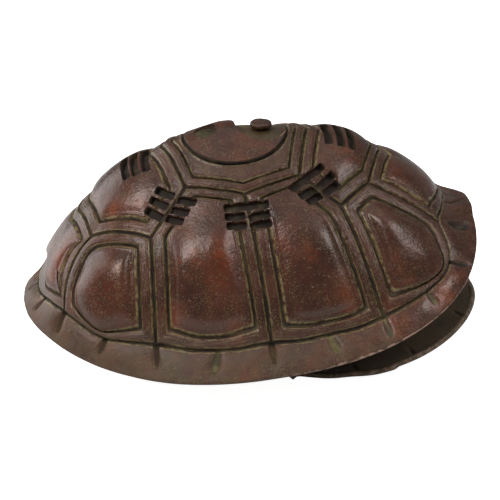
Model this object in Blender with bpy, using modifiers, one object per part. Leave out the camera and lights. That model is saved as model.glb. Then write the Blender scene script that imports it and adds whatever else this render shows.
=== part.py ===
"""Hollow cast-bronze turtle shell: a domed carapace standing on a flat plastron.

Frame: metres, +Z up, head end at +X, tail end at -X. The origin is under the middle of the shell, on the
surface it stands on. Two castings make the object:

    carapace  the dome, with the raised knob and the round pit of its central disc
    plastron  the belly plate, with an upturned front lobe and a bridge wing up to the rim on each side

The dome is a height over the plan: a rim curve, a ridge curve and one cross-section blend between them.
"""

import math

import bpy
import bmesh

MM = 0.001

# Carapace: overall
LENGTH = 130 * MM
HALF_WIDTH = 49.3 * MM
WALL = 2.0 * MM
FRONT_ROUNDNESS = 2.74
TAIL_ROUNDNESS = 2.05

# Carapace: rim height round the plan, as cosine terms of the angle from the head
RIM_HEIGHTS = (17.8 * MM, 10.2 * MM, 7.5 * MM, 1.07 * MM, 0.85 * MM)

# Carapace: ridge line, (x, z) from the tail to the head
RIDGE = [(-65.0, 14.8), (-59.8, 20.5), (-57.2, 26.7), (-53.3, 33.5), (-46.8, 42.3), (-41.6, 48.1),
         (-35.1, 53.4), (-26.0, 58.1), (-15.6, 62.0), (-3.9, 64.0), (7.8, 63.5), (18.2, 62.3), (28.6, 59.7),
         (36.4, 56.0), (44.2, 51.4), (52.0, 45.5), (57.9, 40.2), (61.8, 38.2), (65.0, 37.4)]

# Carapace: fall from ridge to rim across the middle, (share of half width, share of height lost)
CROSS_SECTION = [(0.0, 0.0), (0.13, 0.032), (0.264, 0.115), (0.42, 0.245), (0.58, 0.400), (0.72, 0.605),
                 (0.857, 0.855), (1.0, 1.0)]
SECTION_HELD_TO = 23.4 * MM
SECTION_ROUND_FROM = 58.5 * MM

# Carapace: knob and pit of the central disc, on the ridge
KNOB_X = 4.0 * MM
KNOB_RADIUS = 3.1 * MM
KNOB_HEIGHT = 1.4 * MM
PIT_X = -11.7 * MM
PIT_RADIUS = 3.4 * MM
PIT_DEPTH = 1.2 * MM

# Plastron
PLASTRON_FRONT = 69.3 * MM
PLASTRON_REAR = -54.0 * MM
PLASTRON_THICKNESS = 1.6 * MM
LOBE_HALF_WIDTH = 34.6 * MM
WAIST_HALF_WIDTH = 31.0 * MM
WAIST_FRONT = 4.0 * MM
LOBE_FULL_FROM = 22.0 * MM
FRONT_LOBE_START = 24.0 * MM
REAR_LOBE_START = -12.0 * MM
REAR_NOTCH_DEPTH = 4.0 * MM
REAR_NOTCH_HALF_WIDTH = 8.0 * MM
REAR_NOTCH_REACH = 12.0 * MM
EDGE_RISE = 0.9 * MM
UPTURN_START = 15.6 * MM
UPTURN_RISE = 9.2 * MM
UPTURN_LENGTH = 52.0 * MM
EDGE_BAND = 4.0 * MM
EDGE_BAND_SHARE = 0.3
BRIDGE_FRONT = 5.0 * MM
BRIDGE_REAR = -29.0 * MM
BRIDGE_END_SLANT = 6.0 * MM
BRIDGE_SLOPE = 1.15
JOINT_GAP = 0.3 * MM

# The lengths above are measured from the middle of the dome; the shell's middle lies this far ahead of it,
# because the plastron's front lobe reaches out past the dome
DOME_AHEAD = (PLASTRON_FRONT - LENGTH / 2) / 2

# Mesh density
DOME_SPOKES = 64
DOME_RINGS = 15
PLATE_STATIONS = 64
PLATE_COLUMNS = 20
KNOB_SIDES = 24

CARAPACE_COLOUR = (0.075, 0.035, 0.024, 1.0)
PLASTRON_COLOUR = (0.060, 0.036, 0.026, 1.0)


def smooth_curve(points, value):
    """Height of the smooth curve through the points at a value."""
    value = min(max(value, points[0][0]), points[-1][0])
    slopes = [(b[1] - a[1]) / (b[0] - a[0]) for a, b in zip(points, points[1:])]
    spans = [b[0] - a[0] for a, b in zip(points, points[1:])]
    tangents = [slopes[0]]
    for before in range(len(slopes) - 1):
        after = before + 1
        mixed = slopes[before] * spans[after] + slopes[after] * spans[before]
        tangents.append(mixed / (spans[before] + spans[after]))
    tangents.append(slopes[-1])
    index = max(i for i in range(len(spans)) if points[i][0] <= value)
    t = (value - points[index][0]) / spans[index]
    start, end = points[index][1], points[index + 1][1]
    rise_in, rise_out = tangents[index] * spans[index], tangents[index + 1] * spans[index]
    return ((2 * t ** 3 - 3 * t ** 2 + 1) * start + (t ** 3 - 2 * t ** 2 + t) * rise_in
            + (3 * t ** 2 - 2 * t ** 3) * end + (t ** 3 - t ** 2) * rise_out)


def smooth_step(start, end, value):
    """0 before start, 1 after end, and an S-curve between them."""
    t = min(max((value - start) / (end - start), 0.0), 1.0)
    return t * t * (3 - 2 * t)


def rim_half_width(x):
    """Half width of the carapace in plan at x."""
    reach = min(abs(2 * x / LENGTH), 1.0)
    power = FRONT_ROUNDNESS if x > 0 else TAIL_ROUNDNESS
    return HALF_WIDTH * (1 - reach ** power) ** (1 / power)


def rim_height(x):
    """Height of the rim's outer edge at x."""
    angle = math.atan2(rim_half_width(x) / HALF_WIDTH, 2 * x / LENGTH)
    return sum(term * math.cos(k * angle) for k, term in enumerate(RIM_HEIGHTS))


def dome_height(x, y):
    """Height of the dome's outer face over the plan point (x, y)."""
    x = min(max(x, -LENGTH / 2), LENGTH / 2)
    across = min(abs(y) / max(rim_half_width(x), 1e-9), 1.0)
    side_fall = smooth_curve(CROSS_SECTION, across) if across > CROSS_SECTION[1][0] else (
        CROSS_SECTION[1][1] * (across / CROSS_SECTION[1][0]) ** 2)
    roundness = smooth_step(SECTION_HELD_TO, SECTION_ROUND_FROM, abs(x))
    fall = side_fall * (1 - roundness) + across ** 2 * roundness
    ridge = smooth_curve(RIDGE, x / MM) * MM
    rim = rim_height(x)
    return rim + (ridge - rim) * (1 - fall)


def dome_steepness(x, y):
    """Length of the dome's face per unit of plan, square to its contour lines."""
    step = 0.2 * MM
    along = (dome_height(x + step, y) - dome_height(x - step, y)) / (2 * step)
    sideways = (dome_height(x, y + step) - dome_height(x, y - step)) / (2 * step)
    return math.sqrt(1 + along ** 2 + sideways ** 2)


def plate_half_width(x):
    """Half width of the plastron at x, without its bridges: a waist between them and a rounded lobe each end."""
    widening = smooth_step(WAIST_FRONT, LOBE_FULL_FROM, x)
    half_width = WAIST_HALF_WIDTH + (LOBE_HALF_WIDTH - WAIST_HALF_WIDTH) * widening
    front = max((x - FRONT_LOBE_START) / (PLASTRON_FRONT - FRONT_LOBE_START), 0.0)
    rear = max((x - REAR_LOBE_START) / (PLASTRON_REAR - REAR_LOBE_START), 0.0)
    return half_width * math.sqrt(1 - min(front + rear, 1.0) ** 2)


def plastron_lift(x):
    """Height of the plastron's lower face at x: flat, then upturned under the head."""
    return UPTURN_RISE * max((x - UPTURN_START) / UPTURN_LENGTH, 0.0) ** 2


def bridge_reach(x):
    """How far a bridge wing runs out past the flat plate at x before it meets the carapace."""
    low, high = 0.0, HALF_WIDTH - plate_half_width(x)
    for _ in range(30):
        middle = (low + high) / 2
        y = plate_half_width(x) + middle
        ceiling = dome_height(x, y) - (WALL + JOINT_GAP) * dome_steepness(x, y)
        if middle * BRIDGE_SLOPE < ceiling:
            low = middle
        else:
            high = middle
    return low


def bridge_share(x):
    """1 along the bridges, 0 along the lobes, with a short slanted end between."""
    front = smooth_step(BRIDGE_FRONT + BRIDGE_END_SLANT, BRIDGE_FRONT, x)
    rear = smooth_step(BRIDGE_REAR - BRIDGE_END_SLANT, BRIDGE_REAR, x)
    return front * rear


def new_object(name, mesh, collection, frame, material=None):
    """Puts a mesh into the scene as a named object in the shell's frame."""
    item = bpy.data.objects.new(name, mesh)
    collection.objects.link(item)
    item.parent = frame
    if material:
        mesh.materials.append(material)
    return item


def bronze(name, colour, roughness):
    """Dull patinated bronze."""
    material = bpy.data.materials.new(name)
    material.use_nodes = True
    shader = material.node_tree.nodes["Principled BSDF"]
    shader.inputs["Base Color"].default_value = colour
    shader.inputs["Roughness"].default_value = roughness
    shader.inputs["Metallic"].default_value = 0.35
    return material


def mesh_from(bm, name):
    """Finishes a bmesh as a smooth-shaded mesh."""
    mesh = bpy.data.meshes.new(name)
    bm.to_mesh(mesh)
    bm.free()
    mesh.shade_smooth()
    mesh.set_sharp_from_angle(angle=math.radians(40))
    return mesh


def dome_surface():
    """The dome's outer face: the upper half of a sphere, spread over the plan and lifted to the dome."""
    bm = bmesh.new()
    bmesh.ops.create_uvsphere(bm, u_segments=DOME_SPOKES, v_segments=2 * DOME_RINGS, radius=1.0)
    below = [vert for vert in bm.verts if vert.co.z < -0.001]
    bmesh.ops.delete(bm, geom=below, context="VERTS")
    for vert in bm.verts:
        share = 2 / math.pi * math.acos(min(max(vert.co.z, 0.0), 1.0))
        direction = math.atan2(vert.co.y, vert.co.x) if share > 0 else 0.0
        power = FRONT_ROUNDNESS if math.cos(direction) > 0 else TAIL_ROUNDNESS
        spread = share / (abs(math.cos(direction)) ** power + abs(math.sin(direction)) ** power) ** (1 / power)
        x = LENGTH / 2 * spread * math.cos(direction)
        y = HALF_WIDTH * spread * math.sin(direction)
        vert.co = (x, y, dome_height(x, y))
    return mesh_from(bm, "dome")


def rear_notch(x, y):
    """How far the plastron's rear edge is drawn in towards the head at the middle."""
    near_rear = smooth_step(PLASTRON_REAR + REAR_NOTCH_REACH, PLASTRON_REAR, x)
    return REAR_NOTCH_DEPTH * near_rear * max(1 - abs(y) / REAR_NOTCH_HALF_WIDTH, 0.0)


def plastron_surface():
    """The plastron's lower face: a grid drawn in to the outline, with its wings raised to the carapace."""
    bm = bmesh.new()
    bmesh.ops.create_grid(bm, x_segments=PLATE_STATIONS, y_segments=PLATE_COLUMNS, size=1.0)
    centre = (PLASTRON_FRONT + PLASTRON_REAR) / 2
    half_length = (PLASTRON_FRONT - PLASTRON_REAR) / 2
    for vert in bm.verts:
        x = centre + half_length * math.sin(vert.co.x * math.pi / 2)
        side = math.copysign(1.0, vert.co.y)
        bridge = bridge_share(x)
        band = min(EDGE_BAND, plate_half_width(x) * EDGE_BAND_SHARE) * (1 - bridge)
        flat = plate_half_width(x) - band
        inner = min(abs(vert.co.y) / (1 - EDGE_BAND_SHARE), 1.0)
        outer = max(abs(vert.co.y) - (1 - EDGE_BAND_SHARE), 0.0) / EDGE_BAND_SHARE
        wing = bridge_reach(x) * bridge
        y = inner * flat + outer * (band + wing)
        lip = EDGE_RISE * outer ** 2 * (1 - bridge)
        vert.co = (x + rear_notch(x, y), side * y, plastron_lift(x) + lip + outer * wing * BRIDGE_SLOPE)
    bmesh.ops.remove_doubles(bm, verts=bm.verts, dist=0.05 * MM)
    return mesh_from(bm, "plastron")


def add_wall(item, thickness, direction):
    """Gives an open surface its wall: direction -1 is inwards, 1 is outwards."""
    wall = item.modifiers.new("wall", "SOLIDIFY")
    wall.thickness = thickness
    wall.offset = direction
    wall.use_even_offset = True


def cut_or_join(item, tool, operation):
    """Boolean of one object with a guide."""
    step = item.modifiers.new(operation.lower(), "BOOLEAN")
    step.operation = operation
    step.object = tool
    step.solver = "EXACT"


def disc_guide(name, radius, bottom, top, x, guides, frame):
    """A round guide standing on the ridge, between two heights."""
    bm = bmesh.new()
    bmesh.ops.create_cone(bm, cap_ends=True, segments=KNOB_SIDES, radius1=radius, radius2=radius,
                          depth=top - bottom)
    mesh = bpy.data.meshes.new(name)
    bm.to_mesh(mesh)
    bm.free()
    guide = new_object(name, mesh, guides, frame)
    guide.location = (x, 0, (top + bottom) / 2)
    guide.hide_render = True
    guide.display_type = "WIRE"
    return guide


def make_carapace(collection, guides, frame):
    """The dome casting with its knob and pit."""
    carapace = new_object("carapace", dome_surface(), collection, frame,
                          bronze("bronze_dome", CARAPACE_COLOUR, 0.42))
    add_wall(carapace, WALL, -1)
    knob_ground = dome_height(KNOB_X, 0)
    pit_ground = dome_height(PIT_X, 0)
    knob = disc_guide("knob_guide", KNOB_RADIUS, knob_ground - WALL / 2, knob_ground + KNOB_HEIGHT, KNOB_X,
                      guides, frame)
    pit = disc_guide("pit_guide", PIT_RADIUS, pit_ground - PIT_DEPTH, pit_ground + 2 * WALL, PIT_X, guides,
                     frame)
    cut_or_join(carapace, knob, "UNION")
    cut_or_join(carapace, pit, "DIFFERENCE")


def make_plastron(collection, frame):
    """The belly plate with its bridges."""
    plastron = new_object("plastron", plastron_surface(), collection, frame,
                          bronze("bronze_plate", PLASTRON_COLOUR, 0.5))
    add_wall(plastron, PLASTRON_THICKNESS, 1)


def main():
    """Clears the scene and builds the shell."""
    for item in list(bpy.data.objects):
        bpy.data.objects.remove(item, do_unlink=True)
    shell = bpy.data.collections.new("turtle_shell")
    guides = bpy.data.collections.new("guides")
    for collection in (shell, guides):
        bpy.context.scene.collection.children.link(collection)
    frame = bpy.data.objects.new("shell_frame", None)
    shell.objects.link(frame)
    frame.location = (-DOME_AHEAD, 0, 0)
    make_carapace(shell, guides, frame)
    make_plastron(shell, frame)


main()
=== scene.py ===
"""Hollow cast-bronze turtle shell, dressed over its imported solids.

Lengths are in millimetres, from the middle of the dome, until a mesh is laid in the shared frame: head at +X,
tail at -X, the side that faces the camera at -Y, +Z up from the surface that the shell stands on.

    Dome          the shell's smooth outer form, as a height over its plan
    SeamPlan      where the seams between the scutes run, in plan
    Disc          the round two-part disc on the ridge
    BarTool       the tool that cuts the bars round the disc
    Carapace      the dome casting: scutes, rim and inner wall, with its disc and bars
    Plastron      the belly casting
    Knob          the raised button on the disc
    BronzeFinish  the patinated bronze of a casting
    Studio        floor, lights and camera
"""

from __future__ import annotations

import logging
import math
from dataclasses import dataclass, field
from enum import Enum
from typing import Sequence

import bpy
import numpy as np
from mathutils import Matrix, Vector, noise
from mathutils.bvhtree import BVHTree

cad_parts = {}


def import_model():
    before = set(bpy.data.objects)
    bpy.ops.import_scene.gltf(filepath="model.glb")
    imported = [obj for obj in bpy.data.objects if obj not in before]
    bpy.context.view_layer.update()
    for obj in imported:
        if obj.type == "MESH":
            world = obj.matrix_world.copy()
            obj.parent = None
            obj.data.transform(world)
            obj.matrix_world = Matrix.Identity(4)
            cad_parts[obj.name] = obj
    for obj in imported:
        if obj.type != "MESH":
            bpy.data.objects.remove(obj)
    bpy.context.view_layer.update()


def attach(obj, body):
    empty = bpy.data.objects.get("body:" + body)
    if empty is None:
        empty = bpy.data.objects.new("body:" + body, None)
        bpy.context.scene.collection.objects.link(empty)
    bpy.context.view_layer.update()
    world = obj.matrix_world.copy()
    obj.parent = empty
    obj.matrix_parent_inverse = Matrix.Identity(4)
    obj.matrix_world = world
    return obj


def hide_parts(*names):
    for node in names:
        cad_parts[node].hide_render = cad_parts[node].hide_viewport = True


MM = 0.001
TINY = 1e-6
MERGE = 0.004 * MM
DOME_AHEAD = 2.15  # how far the dome's middle lies ahead of the shared frame's
SEAM_REACH = 10.0  # the seam mark is this distance less the distance from a seam
SWELLING, FINE_SWELLING = 6.0, 1.7  # grains of a casting's unevenness
FINE_SHIFT = 60.0  # moves the finer unevenness away from the broad one's pattern
NOISE_SKEW = 0.7  # sets a shifted shader noise off the diagonal
ACROSS = np.array([1.0, -1.0])  # turns a plan point over to the other side
LOG = logging.getLogger("turtle_shell")

Points = np.ndarray
Pair = tuple[float, float]
Place = tuple[float, float, float]
Colour = tuple[float, float, float, float]
WHITE: Colour = (1.0, 1.0, 1.0, 1.0)


class Mark(Enum):
    """Per-vertex marks that the finishes read."""

    VERDIGRIS = "verdigris"
    # Bare bronze where worn; along the disc's step and the rim's edge this mark paints a highlight.
    WEAR_AND_GLINT = "worn"
    PLATE = "plate"
    SEAM = "seam"
    # How strongly a seam's painted shade, dark groove patina and pale lines show; on cut faces, beside the
    # disc's step and in the gouges it paints shade.
    CUT = "cut"
    WARM = "warm"


class Bar(Enum):
    """How a bar is cut: whole, or split at its middle."""

    WHOLE = "whole"
    SPLIT = "split"


# --- numbers


def smooth_curve(knots: Sequence[Pair], values: Points) -> Points:
    """Reads the smooth curve through the knots.

    Args:
        knots: (place, value) pairs in rising order of place.
        values: places to read it at; outside the knots it stays level.

    Returns:
        The curve's value at each place.
    """
    table = np.array(knots, float)
    place, level = table[:, 0], table[:, 1]
    spans = np.diff(place)
    slopes = np.diff(level) / spans
    middle = (slopes[:-1] * spans[1:] + slopes[1:] * spans[:-1]) / (spans[1:] + spans[:-1])
    tangents = np.concatenate([slopes[:1], middle, slopes[-1:]])
    inside = np.clip(values, place[0], place[-1])
    index = np.clip(np.searchsorted(place, inside, side="right") - 1, 0, len(spans) - 1)
    t = (inside - place[index]) / spans[index]
    rise_in, rise_out = tangents[index] * spans[index], tangents[index + 1] * spans[index]
    return ((2 * t ** 3 - 3 * t ** 2 + 1) * level[index] + (t ** 3 - 2 * t ** 2 + t) * rise_in
            + (3 * t ** 2 - 2 * t ** 3) * level[index + 1] + (t ** 3 - t ** 2) * rise_out)


def smooth_step(start: float, end: float, values: Points) -> Points:
    """Reads an S-curve that is 0 before start and 1 after end."""
    t = np.clip((values - start) / (end - start), 0.0, 1.0)
    return t * t * (3 - 2 * t)


def run_along(path: Points) -> Points:
    """Distance of each point of a path from its start, along the path."""
    return np.concatenate([[0.0], np.cumsum(np.linalg.norm(np.diff(path, axis=0), axis=1))])


def smooth_path(run: Points, places: Points, stops: Points) -> Points:
    """Plan points on the smooth line through places, by the run along it."""
    return np.stack([smooth_curve(list(zip(run, places[:, k])), stops) for k in range(2)], axis=1)


def straight_path(run: Points, places: Points, stops: Points) -> Points:
    """Plan points on the straight line from place to place, by the run along it."""
    return np.stack([np.interp(stops, run, places[:, k]) for k in range(2)], axis=1)


def evenly_spaced(path: Points, step: float) -> Points:
    """Lays points along a path at an even spacing.

    Args:
        path: (n, 2) corners of the path.
        step: largest distance between two points.

    Returns:
        (m, 2) points, the path's two ends included.
    """
    run = run_along(path)
    count = max(int(math.ceil(run[-1] / step)), 2)
    return straight_path(run, path, np.linspace(0.0, run[-1], count + 1))


def unevenness(points: Points, grain: float, amount: float) -> Points:
    """Reads soft noise at points, for the small unevenness of a hand-made casting.

    Args:
        points: (n, 3) places in millimetres.
        grain: size of one swelling in millimetres.
        amount: largest swing in millimetres.

    Returns:
        One value per point.
    """
    return amount * np.array([noise.noise(Vector(p) / grain) for p in points])


def cast_skin(points: Points, amount: float, fine_amount: float, fine_grain: float = FINE_SWELLING) -> Points:
    """Reads a casting's unevenness: broad swellings with finer ones on them.

    Args:
        points: (..., 3) places in millimetres.
        amount: largest swing of the broad swellings.
        fine_amount: largest swing of the finer ones.
        fine_grain: size of a finer one.

    Returns:
        One value per point, in the points' own shape.
    """
    flat = points.reshape(-1, 3)
    rough = unevenness(flat, SWELLING, amount) + unevenness(flat + FINE_SHIFT, fine_grain, fine_amount)
    return rough.reshape(points.shape[:-1])


def close_on_midline(rows: Points) -> None:
    """Moves the first and last column of (rows, columns, ...) points onto the midline."""
    rows[:, [0, -1], 1] = 0.0


def unit(vectors: Points) -> Points:
    """The vectors at length 1."""
    return vectors / np.linalg.norm(vectors, axis=-1, keepdims=True)


def blend(start: Points, end: Points, share: Points) -> Points:
    """Plan points part of the way from one line to another, by (rows, columns) shares."""
    return start[None] * (1 - share[..., None]) + end[None] * share[..., None]


def fill_between(near: list[Points], far: list[Points], count: int) -> Points:
    """Stacks rows of shares, with count even rows between the last near one and the first far one."""
    even = np.linspace(0.0, 1.0, count + 2)[1:-1]
    return np.stack(near + [near[-1] + (far[0] - near[-1]) * share for share in even] + far)


# --- modelling steps


def deselect_all() -> None:
    """Leaves nothing selected, in object mode."""
    if bpy.context.object and bpy.context.object.mode != "OBJECT":
        bpy.ops.object.mode_set(mode="OBJECT")
    bpy.ops.object.select_all(action="DESELECT")


def pick(pieces: Sequence[bpy.types.Object]) -> None:
    """Leaves only these pieces selected, and the first of them active.

    Args:
        pieces: the pieces.
    """
    deselect_all()
    for piece in pieces:
        piece.select_set(True)
    bpy.context.view_layer.objects.active = pieces[0]


def write_marks(piece: bpy.types.Object, marks: dict[Mark, Points | float]) -> None:
    """Gives a piece's vertices their marks.

    Args:
        piece: the piece.
        marks: for each mark one value per vertex, or one for all.
    """
    count = len(piece.data.vertices)
    for mark, values in marks.items():
        layer = piece.data.attributes.new(mark.value, "FLOAT", "POINT")
        spread = np.broadcast_to(np.asarray(values, np.float32).ravel(), count)
        layer.data.foreach_set("value", np.ascontiguousarray(spread))


def read_column(items: bpy.types.bpy_prop_collection, name: str, kind: type) -> Points:
    """Reads one number of each item in a part of a mesh.

    Args:
        items: the mesh's faces, corners or attribute values.
        name: the property's name.
        kind: the number's type.

    Returns:
        One number per item.
    """
    values = np.zeros(len(items), kind)
    items.foreach_get(name, values)
    return values


def lay_grid(name: str, points: Points, marks: dict[Mark, Points]) -> bpy.types.Object:
    """Adds a grid with one vertex for each point and lays it on them.

    Args:
        name: the new object's name.
        points: (rows, columns, 3) places in millimetres.
        marks: for each mark, a (rows, columns) array.

    Returns:
        The grid's object.
    """
    rows, columns = points.shape[:2]
    deselect_all()
    bpy.ops.mesh.primitive_grid_add(x_subdivisions=columns - 1, y_subdivisions=rows - 1, size=1.0)
    tile = bpy.context.active_object
    tile.name = name
    tile.data.vertices.foreach_set("co", (points * MM).astype(np.float32).ravel())
    write_marks(tile, marks)
    tile.data.update()
    return tile


def weld(name: str, tiles: Sequence[bpy.types.Object], turn_out: bool = True) -> bpy.types.Object:
    """Joins tiles into one piece and merges the vertices where they meet.

    Args:
        name: the piece's name.
        tiles: objects to join.
        turn_out: whether the faces are then turned outwards.

    Returns:
        The joined object.
    """
    pick(tiles)
    if len(tiles) > 1:
        bpy.ops.object.join()
    piece = bpy.context.active_object
    piece.name = name
    bpy.ops.object.mode_set(mode="EDIT")
    bpy.ops.mesh.select_all(action="SELECT")
    bpy.ops.mesh.remove_doubles(threshold=MERGE)
    bpy.ops.mesh.dissolve_degenerate(threshold=MERGE)
    if turn_out:
        bpy.ops.mesh.normals_make_consistent(inside=False)
    bpy.ops.object.mode_set(mode="OBJECT")
    return piece


def mirror_across(piece: bpy.types.Object) -> None:
    """Gives a half piece its other half across the XZ plane.

    Args:
        piece: the half piece.
    """
    pick([piece])
    mirror = piece.modifiers.new("other_half", "MIRROR")
    mirror.use_axis = (False, True, False)
    mirror.use_mirror_merge = True
    mirror.merge_threshold = MERGE
    bpy.ops.object.modifier_apply(modifier=mirror.name)


def cut_away(piece: bpy.types.Object, tool: bpy.types.Object, verdigris: float, shadow: float) -> None:
    """Cuts one piece with a tool, marks the faces that the cut leaves, and takes the tool away.

    Args:
        piece: the piece to cut.
        tool: the solid that is taken out of it.
        verdigris: how green those faces are, from 0 to 1.
        shadow: how much painted shade darkens them, from 0 to 1.
    """
    sides = [bpy.data.materials.new(name) for name in ("skin", "cut")]
    for item, side in ((piece, 0), (tool, 1)):
        for paint in sides:
            item.data.materials.append(paint)
        item.data.polygons.foreach_set("material_index", [side] * len(item.data.polygons))
    pick([piece])
    cut = piece.modifiers.new("cut", "BOOLEAN")
    cut.operation = "DIFFERENCE"
    cut.solver = "EXACT"
    cut.object = tool
    bpy.ops.object.modifier_apply(modifier=cut.name)
    bpy.data.objects.remove(tool, do_unlink=True)
    mesh = piece.data
    side = read_column(mesh.polygons, "material_index", np.int32)
    corners = read_column(mesh.polygons, "loop_total", np.int32)
    vertex = read_column(mesh.loops, "vertex_index", np.int32)
    fresh = np.ones(len(mesh.vertices), bool)
    fresh[vertex[np.repeat(side, corners) == 0]] = False
    marks = {Mark.VERDIGRIS: verdigris, Mark.CUT: shadow, Mark.SEAM: SEAM_REACH, Mark.PLATE: 0.0}
    for mark, value in marks.items():
        layer = mesh.attributes[mark.value].data
        values = read_column(layer, "value", np.float32)
        values[fresh] = value
        layer.foreach_set("value", values)
    mesh.materials.clear()
    for paint in sides:
        bpy.data.materials.remove(paint)


def settle(piece: bpy.types.Object, sharp_from: float) -> None:
    """Moves a piece from the dome's middle to the shared frame and shades it.

    Args:
        piece: the finished piece.
        sharp_from: angle in degrees from which an edge stays sharp.
    """
    pick([piece])
    piece.data.transform(Matrix.Translation((-DOME_AHEAD * MM, 0, 0)))
    bpy.ops.object.shade_smooth_by_angle(angle=math.radians(sharp_from))


# --- the dome


@dataclass(frozen=True)
class Dome:
    """The shell's smooth outer form: a rim curve, a ridge curve and one cross-section between them."""

    length: float = 130.0
    half_width: float = 49.3
    wall: float = 2.0
    front_roundness: float = 2.74
    tail_roundness: float = 2.05
    rim_heights: tuple[float, ...] = (17.8, 10.2, 7.5, 1.07, 0.85)
    ridge: tuple[Pair, ...] = (
        (-65.0, 14.8), (-59.8, 20.5), (-57.2, 26.7), (-53.3, 33.5), (-46.8, 42.3), (-41.6, 48.1),
        (-35.1, 53.4), (-26.0, 58.1), (-15.6, 62.0), (-3.9, 64.0), (7.8, 63.5), (18.2, 62.3), (28.6, 59.7),
        (36.4, 56.0), (44.2, 51.4), (52.0, 45.5), (57.9, 40.2), (61.8, 38.2), (65.0, 37.4))
    cross_section: tuple[Pair, ...] = (
        (0.0, 0.0), (0.13, 0.032), (0.264, 0.115), (0.42, 0.245), (0.58, 0.400), (0.72, 0.605),
        (0.857, 0.855), (1.0, 1.0))
    section_held_to: float = 23.4
    section_round_from: float = 58.5
    slope_step: float = 0.15

    def rim_half_width(self, x: Points) -> Points:
        """Half width of the rim in plan.

        Args:
            x: places along the shell.

        Returns:
            Half widths, 0 past the ends.
        """
        reach = np.minimum(np.abs(2 * x / self.length), 1.0)
        power = np.where(x > 0, self.front_roundness, self.tail_roundness)
        return self.half_width * np.maximum(1 - reach ** power, 0.0) ** (1 / power)

    def rim_height(self, x: Points) -> Points:
        """Height of the rim at x."""
        angle = np.arctan2(self.rim_half_width(x) / self.half_width, 2 * x / self.length)
        return sum(term * np.cos(k * angle) for k, term in enumerate(self.rim_heights))

    def height(self, x: Points, y: Points) -> Points:
        """Height of the smooth form over plan points.

        Args:
            x: places along the shell.
            y: places across it.

        Returns:
            Heights above the ground.
        """
        x = np.clip(x, -self.length / 2, self.length / 2)
        across = np.minimum(np.abs(y) / np.maximum(self.rim_half_width(x), TINY), 1.0)
        top_end, top_fall = self.cross_section[1]
        fall = np.where(across > top_end, smooth_curve(self.cross_section, across),
                        top_fall * (across / top_end) ** 2)
        rounded = smooth_step(self.section_held_to, self.section_round_from, np.abs(x))
        fall = fall * (1 - rounded) + across ** 2 * rounded
        rim = self.rim_height(x)
        return rim + (smooth_curve(self.ridge, x) - rim) * (1 - fall)

    def slopes(self, plan: Points) -> Points:
        """Slope of the form along x and along y.

        Args:
            plan: (..., 2) plan points.

        Returns:
            (..., 2) slopes.
        """
        step = self.slope_step
        x, y = plan[..., 0], plan[..., 1]
        along = (self.height(x + step, y) - self.height(x - step, y)) / (2 * step)
        sideways = (self.height(x, y + step) - self.height(x, y - step)) / (2 * step)
        return np.stack([along, sideways], axis=-1)

    def normals(self, plan: Points) -> Points:
        """Outward normals of the form over (..., 2) plan points."""
        slope = self.slopes(plan)
        return unit(np.concatenate([-slope, np.ones(slope.shape[:-1] + (1,))], axis=-1))

    def surface(self, plan: Points, lift: Points | float = 0.0) -> Points:
        """Points on the form, or a little off it.

        Args:
            plan: (..., 2) plan points.
            lift: distance outwards from the form.

        Returns:
            (..., 3) points.
        """
        ground = np.concatenate([plan, self.height(plan[..., 0], plan[..., 1])[..., None]], axis=-1)
        return ground + self.normals(plan) * np.asarray(lift)[..., None]

    def rim_point(self, turn: Points) -> Points:
        """Points on the rim.

        Args:
            turn: turns from the head in radians.

        Returns:
            (..., 2) plan points.
        """
        power = np.where(np.cos(turn) > 0, self.front_roundness, self.tail_roundness)
        spread = (np.abs(np.cos(turn)) ** power + np.abs(np.sin(turn)) ** power) ** (-1 / power)
        return np.stack([self.length / 2 * spread * np.cos(turn), self.half_width * spread * np.sin(turn)],
                        axis=-1)

    def turn_of(self, plan: Points) -> Points:
        """Turn from the head, in radians, of plan points."""
        return np.arctan2(plan[..., 1] / self.half_width, 2 * plan[..., 0] / self.length)


# --- the seams


@dataclass(frozen=True)
class Scute:
    """One scute: its seam line's corners, and the swell and roll of its plate.

    For each side, slim is how narrow the ridge is and ease how gently the plate rises from it.
    """

    name: str
    corners: tuple[str, ...]
    crown: float
    rounding: float
    roll: float
    sink: float = 0.0
    on_midline: bool = False
    slim: tuple[float, ...] = ()
    ease: tuple[float, ...] = ()

    def per_side(self, shares: tuple[float, ...], count: int) -> list[float]:
        """One share for each side of its loop; a midline scute's are the same on both sides."""
        listed = list(shares or [1.0] * count)
        return listed if len(listed) == count else listed + listed[::-1]


@dataclass(frozen=True)
class Gouge:
    """One short cut between two marginals, outwards from the band's seam.

    Its start and end are shares of the way from that seam to the rim, and pale is how much of its mark is
    verdigris and not shadow.
    """

    inner: Pair
    outer: Pair
    half_width: float = 0.85
    depth: float = 0.8
    end: float = 0.80
    pale: float = 0.4
    start: float = -0.2
    end_fade: float = 0.42
    start_fade: float = 0.2
    taper: float = 0.45
    mark_gain: float = 1.6
    mark_reach: float = 1.15
    green: float = 1.3

    def profile(self, from_middle: Points, share: Points) -> tuple[Points, Points]:
        """Its section and its mark over the band.

        Args:
            from_middle: distance of each column from its middle line.
            share: (rows, columns) way from the band's seam, 0, to the rim, 1.

        Returns:
            How deep it is and how strongly it is marked, from 0 to 1, each (rows, columns).
        """
        fade = 1 - smooth_step(self.end - self.end_fade, self.end, share)
        fade = fade * smooth_step(self.start - self.start_fade, self.start + self.start_fade, share)
        away = from_middle / (self.half_width * (1 - self.taper * (1 - fade)))
        mark = np.clip(self.mark_gain * fade, 0.0, 1.0) * np.clip(self.mark_reach - away, 0.0, 1.0)
        return fade * np.clip(1 - away ** 2, 0.0, 1.0), mark


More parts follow.
